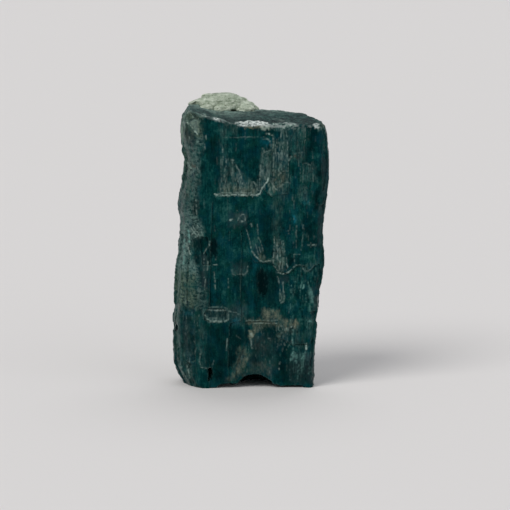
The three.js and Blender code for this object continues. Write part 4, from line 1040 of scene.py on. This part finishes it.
rimPlan = {
    # x and value, x and height in mm, x and depth behind the face in mm
    "sparkle": [(-16, 0), (-10.6, 0), (-10, 0.05), (-7, 0.08), (-6.6, 0.6), (-5.9, 0.6), (-5.4, 0.12),
                (-3.4, 0.1), (-2.8, 0.3), (-2.3, 0.65), (-1, 0.7), (-0.4, 0.75), (0.5, 0.65), (1, 0.55),
                (1.6, 0.75), (2.6, 0.7), (3.2, 0.6), (3.6, 0.2), (8.4, 0.2), (9, 0.1), (11.4, 0.1),
                (11.9, 0.5), (12.5, 0.45), (12.9, 0.1), (16, 0.05)],
    "lowEdge": [(-16, 51.8), (-10, 51.3), (-7, 50.5), (-5.4, 50.1), (-2.8, 49.7), (-2, 49.4), (3.2, 49.2),
                (3.8, 49), (8, 48.9), (9, 49), (11.4, 48.9), (16, 48.8)],
    "depth": [(-16, 0.5), (-6.8, 0.6), (-6.1, 1.4), (-5.4, 0.6), (-3, 0.5), (-2, 1.3), (3, 1.2),
              (3.8, 0.5), (11, 0.6), (12, 1.4), (16, 0.6)],
    "border": 0.2,
    "lowWaves": [(0.25, (0.4, 0.5, 0.4), 43)],
    # the sparkle breaks up into spots towards the right
    "spotty": (3, 4),
    "spotWaves": [(1, (0.9, 0.5, 0.35), 41)],
    "spotBase": (1, -0.6),  # on the left, and what the right adds
    "spotSwing": (1.4, 2),
    "upward": (0.3, 0.7),
    # behind the rim the break dips into shade, and it pales again towards the back
    "dip": [(-16, 0), (-8, 0.2), (-4, 0.6), (-2, 0.9), (3, 1), (6, 0.9), (9, 0.6), (12, 0.1), (16, 0)],
    "dipDepth": (0.6, 1.6),
    "dipEnd": (6.5, 3),
    "dipWaves": [(1.5, (2, 2, 2), 53)],
    "pale": 0.7,
    "paleDepth": (8, 14),
    "paleX": (-9, -6),
    "paleWaves": [(2, (2.5, 1, 2), 59)],
    # a pale haze spreads from the crust over the top
    "hazeMiddle": (-7.5, 13),  # x, and depth behind the face
    "hazeStretch": 1.5,
    "hazeReach": (9.5, 1),
    "hazeUpward": (0, 0.4),
    "hazeWaves": [(2, (3, 1.2, 3), 47)],
}


def alongX(x, rows):
    spots, values = zip(*rows)
    return np.interp(x, spots, values)


def paintRim(piece, plan):
    places, normals = meshArray(piece, "co", 3), meshArray(piece, "normal", 3)
    x, y, z = (places / mm).T
    y = y - front / mm
    low, deep, border = alongX(x, plan["lowEdge"]), alongX(x, plan["depth"]), plan["border"]
    rim = smooth(low - border, low + border, z + waves(places, plan["lowWaves"]))
    rim *= alongX(x, plan["sparkle"]) * smooth(deep + border, deep - border, y)
    spotty = smooth(*plan["spotty"], x)
    (base, baseChange), (swing, swingChange) = plan["spotBase"], plan["spotSwing"]
    swing = (swing + swingChange * spotty) * waves(places, plan["spotWaves"])
    rim *= np.clip(base + baseChange * spotty + swing, 0, 1)
    # the rim layer is a painted highlight: the sparkle of the splintered front rim
    keepLayer(piece, "rim", rim)
    up = smooth(*plan["upward"], normals[:, 2])
    shade = alongX(x, plan["dip"]) * up * smooth(*plan["dipDepth"], y)
    keepLayer(piece, "shade", shade * smooth(*plan["dipEnd"], y + waves(places, plan["dipWaves"])))
    pale = up * smooth(*plan["paleDepth"], y + waves(places, plan["paleWaves"])) * smooth(*plan["paleX"], x)
    middleX, middleDepth = plan["hazeMiddle"]
    distance = np.hypot((x - middleX) / plan["hazeStretch"], y - middleDepth)
    haze = smooth(*plan["hazeReach"], distance + waves(places, plan["hazeWaves"]))
    haze *= smooth(*plan["hazeUpward"], normals[:, 2])
    keepLayer(piece, "haze", np.maximum(haze, plan["pale"] * pale))


paintRim(blade, rimPlan)
markEdges(blade, edgeAndHollowShadePlan)
onlySelect(blade)
bpy.ops.object.shade_smooth_by_angle(angle=math.radians(35))
print("blade marked")

# the mica crust
crustPlan = {
    "voxel": 0.12,
    "triangles": 60000,
    "rounding": 40,  # rounds of smoothing
    "swelling": 0.42,  # closes the gap that the plain solid keeps to the blade
    "sink": (0, -0.6, -0.12),
    # crumbs along the foot: x from and to, scatter, set back, half sizes in mm, turns in radians
    "flakes": {
        "seed": 8,
        "count": 17,
        "span": (-11.4, -0.7),
        "scatter": (-0.3, 0.3),
        "setBack": (-0.2, 0.4),
        "size": [(0.9, 1.5), (0.6, 0.9), (0.45, 0.65)],
        "turn": [(-0.3, 0.1), (-0.2, 0.2), (-0.4, 0.4)],
        "step": 0.3,  # mm above the break, where the foot is felt for
    },
    # leaves on the back, about its middle x and height
    "scales": {
        "seed": 5,
        "count": 70,
        "middle": (-5.4, 45.5),
        "outline": 11,
        "reach": (1, 8),
        "step": 0.3,
        "size": [(0.6, 1.5), (0.5, 1.1), (0.16, 0.34)],
        "tilt": (-0.25, 0.25),
    },
    "relief": {
        "wobbleSize": (1.2, 1.2, 1.2),
        "wobble": 0.6,
        "cellSize": (1.5, 1.5, 0.5),
        "cellStep": 0.2,
        "fibreSize": (1.2, 1.2, 0.3),
        "fibreHeight": 0.22,
        "swellSize": (2.6, 2.6, 2),
        "swellHeight": 0.9,
        "lumpSize": (1.6, 1.6, 1.2),
        "lumpHeight": 0.3,
        "layerSize": (1.2, 1.2, 0.8),
        "layerHeight": 0.3,
        "hillSize": (2.4, 2.4, 2.4),
        "hillHeight": 0.5,
        "grainSize": (0.4, 0.4, 0.3),
        "grainHeight": 0.12,
        "frontShare": 1,
    },
}


def addLeaf(place, size, turn):
    bpy.ops.object.select_all(action="DESELECT")
    bpy.ops.mesh.primitive_ico_sphere_add(
        subdivisions=2, radius=mm, location=place, scale=size, rotation=turn
    )
    return bpy.context.object


def footFlakes(crust, plan):
    # flat crumbs of mica along the front foot of the dome, where it thins out over the upper break
    pick = random.Random(plan["seed"])
    start, end = plan["span"]
    flakes = []
    for number in range(plan["count"]):
        x = start + (end - start) * number / (plan["count"] - 1)
        x = (x + pick.uniform(*plan["scatter"])) * mm
        dropped, ground = blade.ray_cast((x, 6 * mm, 1), (0, 0, -1))[:2]
        met, foot = crust.ray_cast((x, front, ground.z + plan["step"] * mm), (0, 1, 0))[:2]
        if not (dropped and met):
            continue
        ground = blade.ray_cast((x, foot.y - plan["step"] * mm, 1), (0, 0, -1))[1]
        place = (x, foot.y - pick.uniform(*plan["setBack"]) * mm, ground.z)
        size = [pick.uniform(*limits) for limits in plan["size"]]
        flakes.append(addLeaf(place, size, [pick.uniform(*limits) for limits in plan["turn"]]))
    return flakes


def backScales(crust, plan):
    # thin leaves lie all over the back of the crust; every third one lies on its outline
    pick = random.Random(plan["seed"])
    x0, z0 = plan["middle"]
    scales = []
    for number in range(plan["count"]):
        turn = pick.uniform(0, 2 * math.pi)
        reach = plan["outline"] if number % 3 == 0 else pick.uniform(*plan["reach"])
        met = False
        while not met and reach > 0:
            x, z = x0 + reach * math.cos(turn), z0 + reach * math.sin(turn)
            met, spot, normal = crust.ray_cast((x * mm, 20 * mm, z * mm), (0, -1, 0))[:3]
            reach -= plan["step"]
        lean = normal.to_track_quat("Z", "Y").to_euler()
        size = [pick.uniform(*limits) for limits in plan["size"]]
        scales.append(addLeaf(spot, size, [angle + pick.uniform(*plan["tilt"]) for angle in lean]))
    return scales


def makeCrust(plan):
    crust = copyOfNode("mica_crust", "micaCrust")
    crust = joined([crust] + footFlakes(crust, plan["flakes"]))
    applyModifier(crust, "REMESH", mode="VOXEL", voxel_size=plan["voxel"] * mm)
    applyModifier(crust, "SMOOTH", factor=0.6, iterations=plan["rounding"])
    applyModifier(crust, "DISPLACE", strength=plan["swelling"] * mm, mid_level=0)
    crust.location = [step * mm for step in plan["sink"]]
    bpy.ops.object.transform_apply(location=True, rotation=False, scale=False)
    crust = joined([crust] + backScales(crust, plan["scales"]))
    applyModifier(crust, "REMESH", mode="VOXEL", voxel_size=plan["voxel"] * mm)
    applyModifier(crust, "NODES", node_group=reliefTree("leafRelief", plan["relief"]))
    applyModifier(crust, "DECIMATE", ratio=min(1, plan["triangles"] / triangleCount(crust)))
    keepInside(crust)
    markEdges(crust, edgeAndHollowShadePlan)
    bpy.ops.object.shade_smooth_by_angle(angle=math.radians(35))
    print("crust ready", triangleCount(crust))
    return crust


crust = makeCrust(crustPlan)


def srgb(red, green, blue, share=1.0):
    def linear(value):
        value /= 255
        return value / 12.92 if value <= 0.04045 else ((value + 0.055) / 1.055) ** 2.4

    return (*(linear(value) * share for value in (red, green, blue)), 1)


def streakGroup():
    # one noise, stretched to any size in mm, cut to a mask between two levels
    group = bpy.data.node_groups.new("streaks", "ShaderNodeTree")
    inputs = {"Size": "NodeSocketVector", "Seed": "NodeSocketFloat", "Detail": "NodeSocketFloat",
              "Crispness": "NodeSocketFloat", "Low": "NodeSocketFloat", "High": "NodeSocketFloat"}
    for socket, kind in inputs.items():
        group.interface.new_socket(socket, in_out="INPUT", socket_type=kind)
    group.interface.new_socket("Mask", in_out="OUTPUT", socket_type="NodeSocketFloat")
    start, end = group.nodes.new("NodeGroupInput"), group.nodes.new("NodeGroupOutput")
    place = group.nodes.new("ShaderNodeTexCoord").outputs["Object"]
    inMm = scaledBy(group, place, (1 / mm, 1 / mm, 1 / mm))
    stretched = node(group, "ShaderNodeVectorMath", operation="DIVIDE")
    group.links.new(inMm, stretched.inputs[0])
    group.links.new(start.outputs["Size"], stretched.inputs[1])
    moved = node(group, "ShaderNodeVectorMath", operation="ADD")
    group.links.new(stretched.outputs[0], moved.inputs[0])
    group.links.new(start.outputs["Seed"], moved.inputs[1])
    cloud = node(group, "ShaderNodeTexNoise")
    cloud.inputs["Scale"].default_value = 1
    group.links.new(moved.outputs[0], cloud.inputs["Vector"])
    group.links.new(start.outputs["Detail"], cloud.inputs["Detail"])
    group.links.new(start.outputs["Crispness"], cloud.inputs["Roughness"])
    cut = node(group, "ShaderNodeMapRange", interpolation_type="SMOOTHSTEP")
    group.links.new(cloud.outputs[0], cut.inputs["Value"])
    group.links.new(start.outputs["Low"], cut.inputs["From Min"])
    group.links.new(start.outputs["High"], cut.inputs["From Max"])
    group.links.new(cut.outputs[0], end.inputs[0])
    return group


streaks = streakGroup()


def streaked(tree, size, low, high, seed, detail, crispness):
    made = node(tree, "ShaderNodeGroup", node_tree=streaks)
    values = (size, seed, detail, crispness, low, high)
    for socket, value in zip(("Size", "Seed", "Detail", "Crispness", "Low", "High"), values):
        made.inputs[socket].default_value = value
    return made.outputs[0]


def layered(tree, base, colour, share):
    mix = node(tree, "ShaderNodeMix", data_type="RGBA")
    fill(tree, mix.inputs["Factor"], share)
    fill(tree, mix.inputs[6], base)
    fill(tree, mix.inputs[7], colour)
    return mix.outputs[2]


def ramped(tree, mask, stops):
    made = node(tree, "ShaderNodeValToRGB")
    tree.links.new(mask, made.inputs[0])
    made.color_ramp.elements.remove(made.color_ramp.elements[1])
    for place, colour in stops:
        stop = made.color_ramp.elements.new(place) if place > 0 else made.color_ramp.elements[0]
        stop.color = colour
    return made.outputs[0]


def between(tree, mask, low, high):
    return maths(tree, "ADD", low, maths(tree, "MULTIPLY", mask, high - low))


def product(tree, *factors):
    result = factors[0]
    for factor in factors[1:]:
        result = maths(tree, "MULTIPLY", result, factor)
    return result


def blended(tree, *shares):
    # a weighted sum of masks
    result = maths(tree, "MULTIPLY", *shares[0])
    for mask, weight in shares[1:]:
        result = maths(tree, "ADD", result, maths(tree, "MULTIPLY", mask, weight))
    return result


def mixed(tree, grain, shares):
    return blended(tree, *((grain[name], share) for name, share in shares.items()))


def layerOf(tree, name):
    made = node(tree, "ShaderNodeAttribute", attribute_name=name)
    return made.outputs["Fac"]


def facing(tree, axis, shift, slope):
    # 0 to 1 as the surface turns along one axis
    normal = node(tree, "ShaderNodeSeparateXYZ")
    tree.links.new(tree.nodes.new("ShaderNodeNewGeometry").outputs["Normal"], normal.inputs[0])
    return maths(tree, "MULTIPLY", maths(tree, "ADD", normal.outputs[axis], shift), slope, clamp=True)


def bumped(tree, shader, height, strength, depth):
    bump = node(tree, "ShaderNodeBump")
    bump.inputs["Strength"].default_value = strength
    bump.inputs["Distance"].default_value = depth * mm
    tree.links.new(height, bump.inputs["Height"])
    tree.links.new(bump.outputs[0], shader.inputs["Normal"])


kyanitePlan = {
    "body": [(0, srgb(0, 12, 15)), (0.27, srgb(0, 26, 28)), (0.4, srgb(0, 35, 36)), (0.5, srgb(0, 41, 42)),
             (0.6, srgb(4, 49, 49)), (0.73, srgb(13, 60, 58)), (1, srgb(46, 88, 82))],
    # the broken upper end: greyer than the body, partly as painted sheen
    "top": [(0, srgb(4, 24, 26)), (0.32, srgb(16, 38, 39)), (0.5, srgb(29, 54, 52)),
            (0.68, srgb(44, 72, 68)), (1, srgb(74, 100, 93))],
    "sea": srgb(0, 48, 60),
    "moss": srgb(10, 50, 40),
    "greyVeil": srgb(86, 110, 104),
    "warmVeil": srgb(105, 107, 89),
    "sage": srgb(88, 114, 108),
    "olive": srgb(88, 106, 88),
    "dark": srgb(0, 5, 7),
    "murk": srgb(42, 54, 58),
    "shine": srgb(104, 150, 142),
    "rust": srgb(60, 46, 32),
    "blue": srgb(10, 104, 124),
    "glint": srgb(170, 192, 182),
    "sparkle": srgb(236, 244, 240, 1.2),
    "haze": srgb(126, 148, 139),
    "facingUp": (2, -0.45, 3.5),  # axis, shift, slope
    "facingSide": (1, 0.75, 2.5),  # 0 on the front face, 1 on the flanks and the back
    "bodyShares": {"fibres": 0.14, "broad": 0.22, "mottled": 0.42, "fine": 0.22},
    "topShares": {"across": 0.6, "blotches": 0.4},
    "bumpShares": {"fibres": 1, "fine": 0.6},
    "shares": {
        "glow": 0.22,
        "sea": 0.5,
        "moss": 0.5,
        "threads": 0.1,
        "specks": 0.2,
        "pitted": 0.35,
        "hollow": 0.3,
        "dull": 0.25,
    },
    # how much shows where the grain is lowest and where it is highest
    "levels": {
        "worn": (0.1, 0.45),
        "haze": (0.25, 1),
        "shade": (0.7, 0.35),
        "splinters": (0.12, 1.15),
        "veil": (0.15, 1.4),
        "patina": (0.05, 1.1),
        "cover": (0.5, 1.15),
        "murk": (0.4, 1),
        "edge": (0.1, 0.6),
        "edgeSide": (0.3, 0.7),
        "shine": (0.6, 1.2),
        "roughness": (0.22, 0.36),
    },
    "specularTint": (0.1, 0.72, 0.78, 1),
    "specularLevel": 0.13,
    "bump": (0.3, 0.07),  # strength, depth in mm
    # size in mm, low and high level, seed, detail, crispness
    "grains": {
        "fibres": ((0.3, 0.5, 4), 0.34, 0.66, 0, 3, 0.6),
        "broad": ((3, 3, 5), 0.34, 0.66, 9, 4, 0.6),
        "mottled": ((1.1, 1.1, 1.5), 0.32, 0.68, 15, 6, 0.7),
        "fine": ((0.3, 0.3, 0.36), 0.27, 0.73, 19, 3, 0.72),
        "sea": ((1.8, 1.8, 3), 0.48, 0.66, 14.5, 4, 0.6),
        "moss": ((1.5, 1.5, 2), 0.5, 0.68, 21, 5, 0.6),
        "threads": ((0.12, 0.4, 1.8), 0.58, 0.74, 33, 3, 0.6),
        "specks": ((0.3, 0.3, 0.32), 0.62, 0.78, 27, 2, 0.6),
        "weathered": ((0.9, 1.7, 1.1), 0.36, 0.68, 52, 6, 0.72),
        "worn": ((4, 4, 9), 0.4, 0.62, 57, 3, 0.6),
        "pitted": ((0.8, 1.7, 0.5), 0.46, 0.61, 83, 5, 0.72),
        "across": ((0.8, 1.4, 0.5), 0.3, 0.7, 61, 5, 0.74),
        "blotches": ((2, 3.4, 1.6), 0.3, 0.7, 67, 6, 0.66),
        "splinters": ((0.14, 0.4, 1.4), 0.36, 0.62, 4, 3, 0.6),
        "wisps": ((0.7, 0.7, 1.1), 0.34, 0.66, 73, 6, 0.68),
        "grainy": ((0.5, 0.5, 0.8), 0.26, 0.66, 79, 4, 0.62),
        "mottle": ((0.7, 1.6, 0.42), 0.38, 0.6, 88, 5, 0.72),
        "cover": ((1.5, 3, 2.4), 0.38, 0.6, 91, 4, 0.6),
        "spots": ((0.7, 0.4, 0.28), 0.32, 0.54, 97, 4, 0.7),
    },
}


def newPaint(name):
    paint = bpy.data.materials.new(name)
    paint.use_nodes = True
    return paint, paint.node_tree, paint.node_tree.nodes["Principled BSDF"]


def kyanitePaint(plan):
    paint, tree, shader = newPaint("tealKyanite")
    up, side = facing(tree, *plan["facingUp"]), facing(tree, *plan["facingSide"])
    grain = {name: streaked(tree, *values) for name, values in plan["grains"].items()}
    shares = plan["shares"]

    def over(base, name, *masks):
        return layered(tree, base, plan[name], product(tree, *masks))

    def layer(name):
        return layerOf(tree, name)

    def through(mask, name):
        return between(tree, mask, *plan["levels"][name])

    # the body: broad clouds, crisp mottling and a little of the fibre that runs along the blade
    body = mixed(tree, grain, plan["bodyShares"])
    body = maths(tree, "ADD", body, maths(tree, "MULTIPLY", layer("glow"), shares["glow"]))
    colour = ramped(tree, body, plan["body"])
    for name in ("sea", "moss"):
        colour = over(colour, name, grain[name], shares[name])
    # threads and specks of light that stand everywhere in the face
    for name in ("threads", "specks"):
        colour = over(colour, "greyVeil", grain[name], shares[name])
    # flanks and back are duller and greyer
    colour = over(colour, "sage", side, grain["weathered"], through(grain["worn"], "worn"))
    colour = over(colour, "dark", side, grain["pitted"], shares["pitted"])
    # the broken upper end, a greyer teal that also holds a painted sheen, with the haze beside the crust
    # and the shade behind the rim
    topColour = ramped(tree, mixed(tree, grain, plan["topShares"]), plan["top"])
    colour = layered(tree, colour, topColour, up)
    colour = over(colour, "haze", layer("haze"), through(grain["across"], "haze"))
    colour = over(colour, "dark", layer("shade"), through(grain["across"], "shade"))
    # veils, patina, stains, and painted shade in clefts and slots, from the listed marks
    warm = layer("warm")
    splinters = layered(tree, grain["splinters"], grain["grainy"], warm)
    veil = product(tree, layer("veil"), through(splinters, "splinters"), through(grain["wisps"], "veil"))
    veilColour = layered(tree, plan["greyVeil"], plan["warmVeil"], warm)
    colour = layered(tree, colour, veilColour, maths(tree, "MINIMUM", veil, 1))
    mottle, cover = through(grain["mottle"], "patina"), through(grain["cover"], "cover")
    patina = product(tree, layer("sage"), mottle, cover)
    patinaColour = layered(tree, plan["sage"], plan["olive"], warm)
    colour = layered(tree, colour, patinaColour, maths(tree, "MINIMUM", patina, 1))
    colour = over(colour, "murk", layer("murk"), through(grain["wisps"], "murk"))
    for name in ("blue", "rust", "dark"):
        colour = over(colour, name, layer(name))
    # edges that stand out are paler, and hollows get painted shade
    edge = product(tree, layer("edge"), through(grain["wisps"], "edge"), through(side, "edgeSide"))
    colour = over(colour, "sage", edge)
    colour = over(colour, "dark", layer("hollow"), shares["hollow"])
    # what shines
    colour = over(colour, "shine", layer("shine"), through(grain["mottle"], "shine"))
    # painted highlights: the shine of fibres, the glints and the sparkle of the rim
    colour = over(colour, "glint", layer("glint"))
    colour = over(colour, "sparkle", layer("rim"), grain["spots"])
    tree.links.new(colour, shader.inputs["Base Color"])
    dull = maths(tree, "ADD", maths(tree, "MAXIMUM", veil, patina), up)
    rough = through(grain["fibres"], "roughness")
    rough = maths(tree, "ADD", rough, maths(tree, "MULTIPLY", dull, shares["dull"]), clamp=True)
    tree.links.new(rough, shader.inputs["Roughness"])
    bumped(tree, shader, mixed(tree, grain, plan["bumpShares"]), *plan["bump"])
    shader.inputs["Specular IOR Level"].default_value = plan["specularLevel"]
    shader.inputs["Specular Tint"].default_value = plan["specularTint"]
    return paint


micaPlan = {
    "leaf": [(0, srgb(98, 110, 90)), (0.35, srgb(134, 149, 128)), (0.65, srgb(166, 178, 160)),
             (1, srgb(202, 212, 196))],
    "speckAndShade": srgb(62, 66, 46),
    "glimmer": srgb(214, 220, 206, 1.1),
    "leafShares": {"leaves": 0.35, "clouds": 0.45, "fine": 0.2},
    "bumpShares": {"leaves": 1, "fine": 1},
    "speckShare": 0.8,
    "hollowShare": 0.3,
    "edgeShare": 0.4,
    "roughness": (0.3, 0.55),
    "bump": (0.35, 0.07),  # strength, depth in mm
    # size in mm, low and high level, seed, detail, crispness
    "grains": {
        "leaves": ((1.4, 1.4, 0.22), 0.3, 0.7, 1, 3, 0.65),
        "clouds": ((1.1, 1.1, 0.8), 0.32, 0.68, 6, 4, 0.65),
        "fine": ((0.3, 0.3, 0.25), 0.3, 0.7, 5, 3, 0.6),
        "specks": ((0.5, 0.5, 0.4), 0.64, 0.74, 7, 1, 0.6),
    },
}


def micaPaint(plan):
    paint, tree, shader = newPaint("paleMica")
    grain = {name: streaked(tree, *values) for name, values in plan["grains"].items()}
    specks = product(tree, grain["specks"], plan["speckShare"])
    # the hollows get painted shade in the speck colour, the edges a painted glimmer
    hollow = product(tree, layerOf(tree, "hollow"), plan["hollowShare"])
    edge = product(tree, layerOf(tree, "edge"), plan["edgeShare"])
    colour = ramped(tree, mixed(tree, grain, plan["leafShares"]), plan["leaf"])
    colour = layered(tree, colour, plan["speckAndShade"], specks)
    colour = layered(tree, colour, plan["speckAndShade"], hollow)
    colour = layered(tree, colour, plan["glimmer"], edge)
    tree.links.new(colour, shader.inputs["Base Color"])
    tree.links.new(between(tree, grain["fine"], *plan["roughness"]), shader.inputs["Roughness"])
    bumped(tree, shader, mixed(tree, grain, plan["bumpShares"]), *plan["bump"])
    return paint


blade.data.materials.append(kyanitePaint(kyanitePlan))
crust.data.materials.append(micaPaint(micaPlan))
print("materials ready")

for piece, nodeName, slotName in ((blade, "kyanite_blade", "kyanite"), (crust, "mica_crust", "mica")):
    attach(piece, "root")
    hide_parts(nodeName)
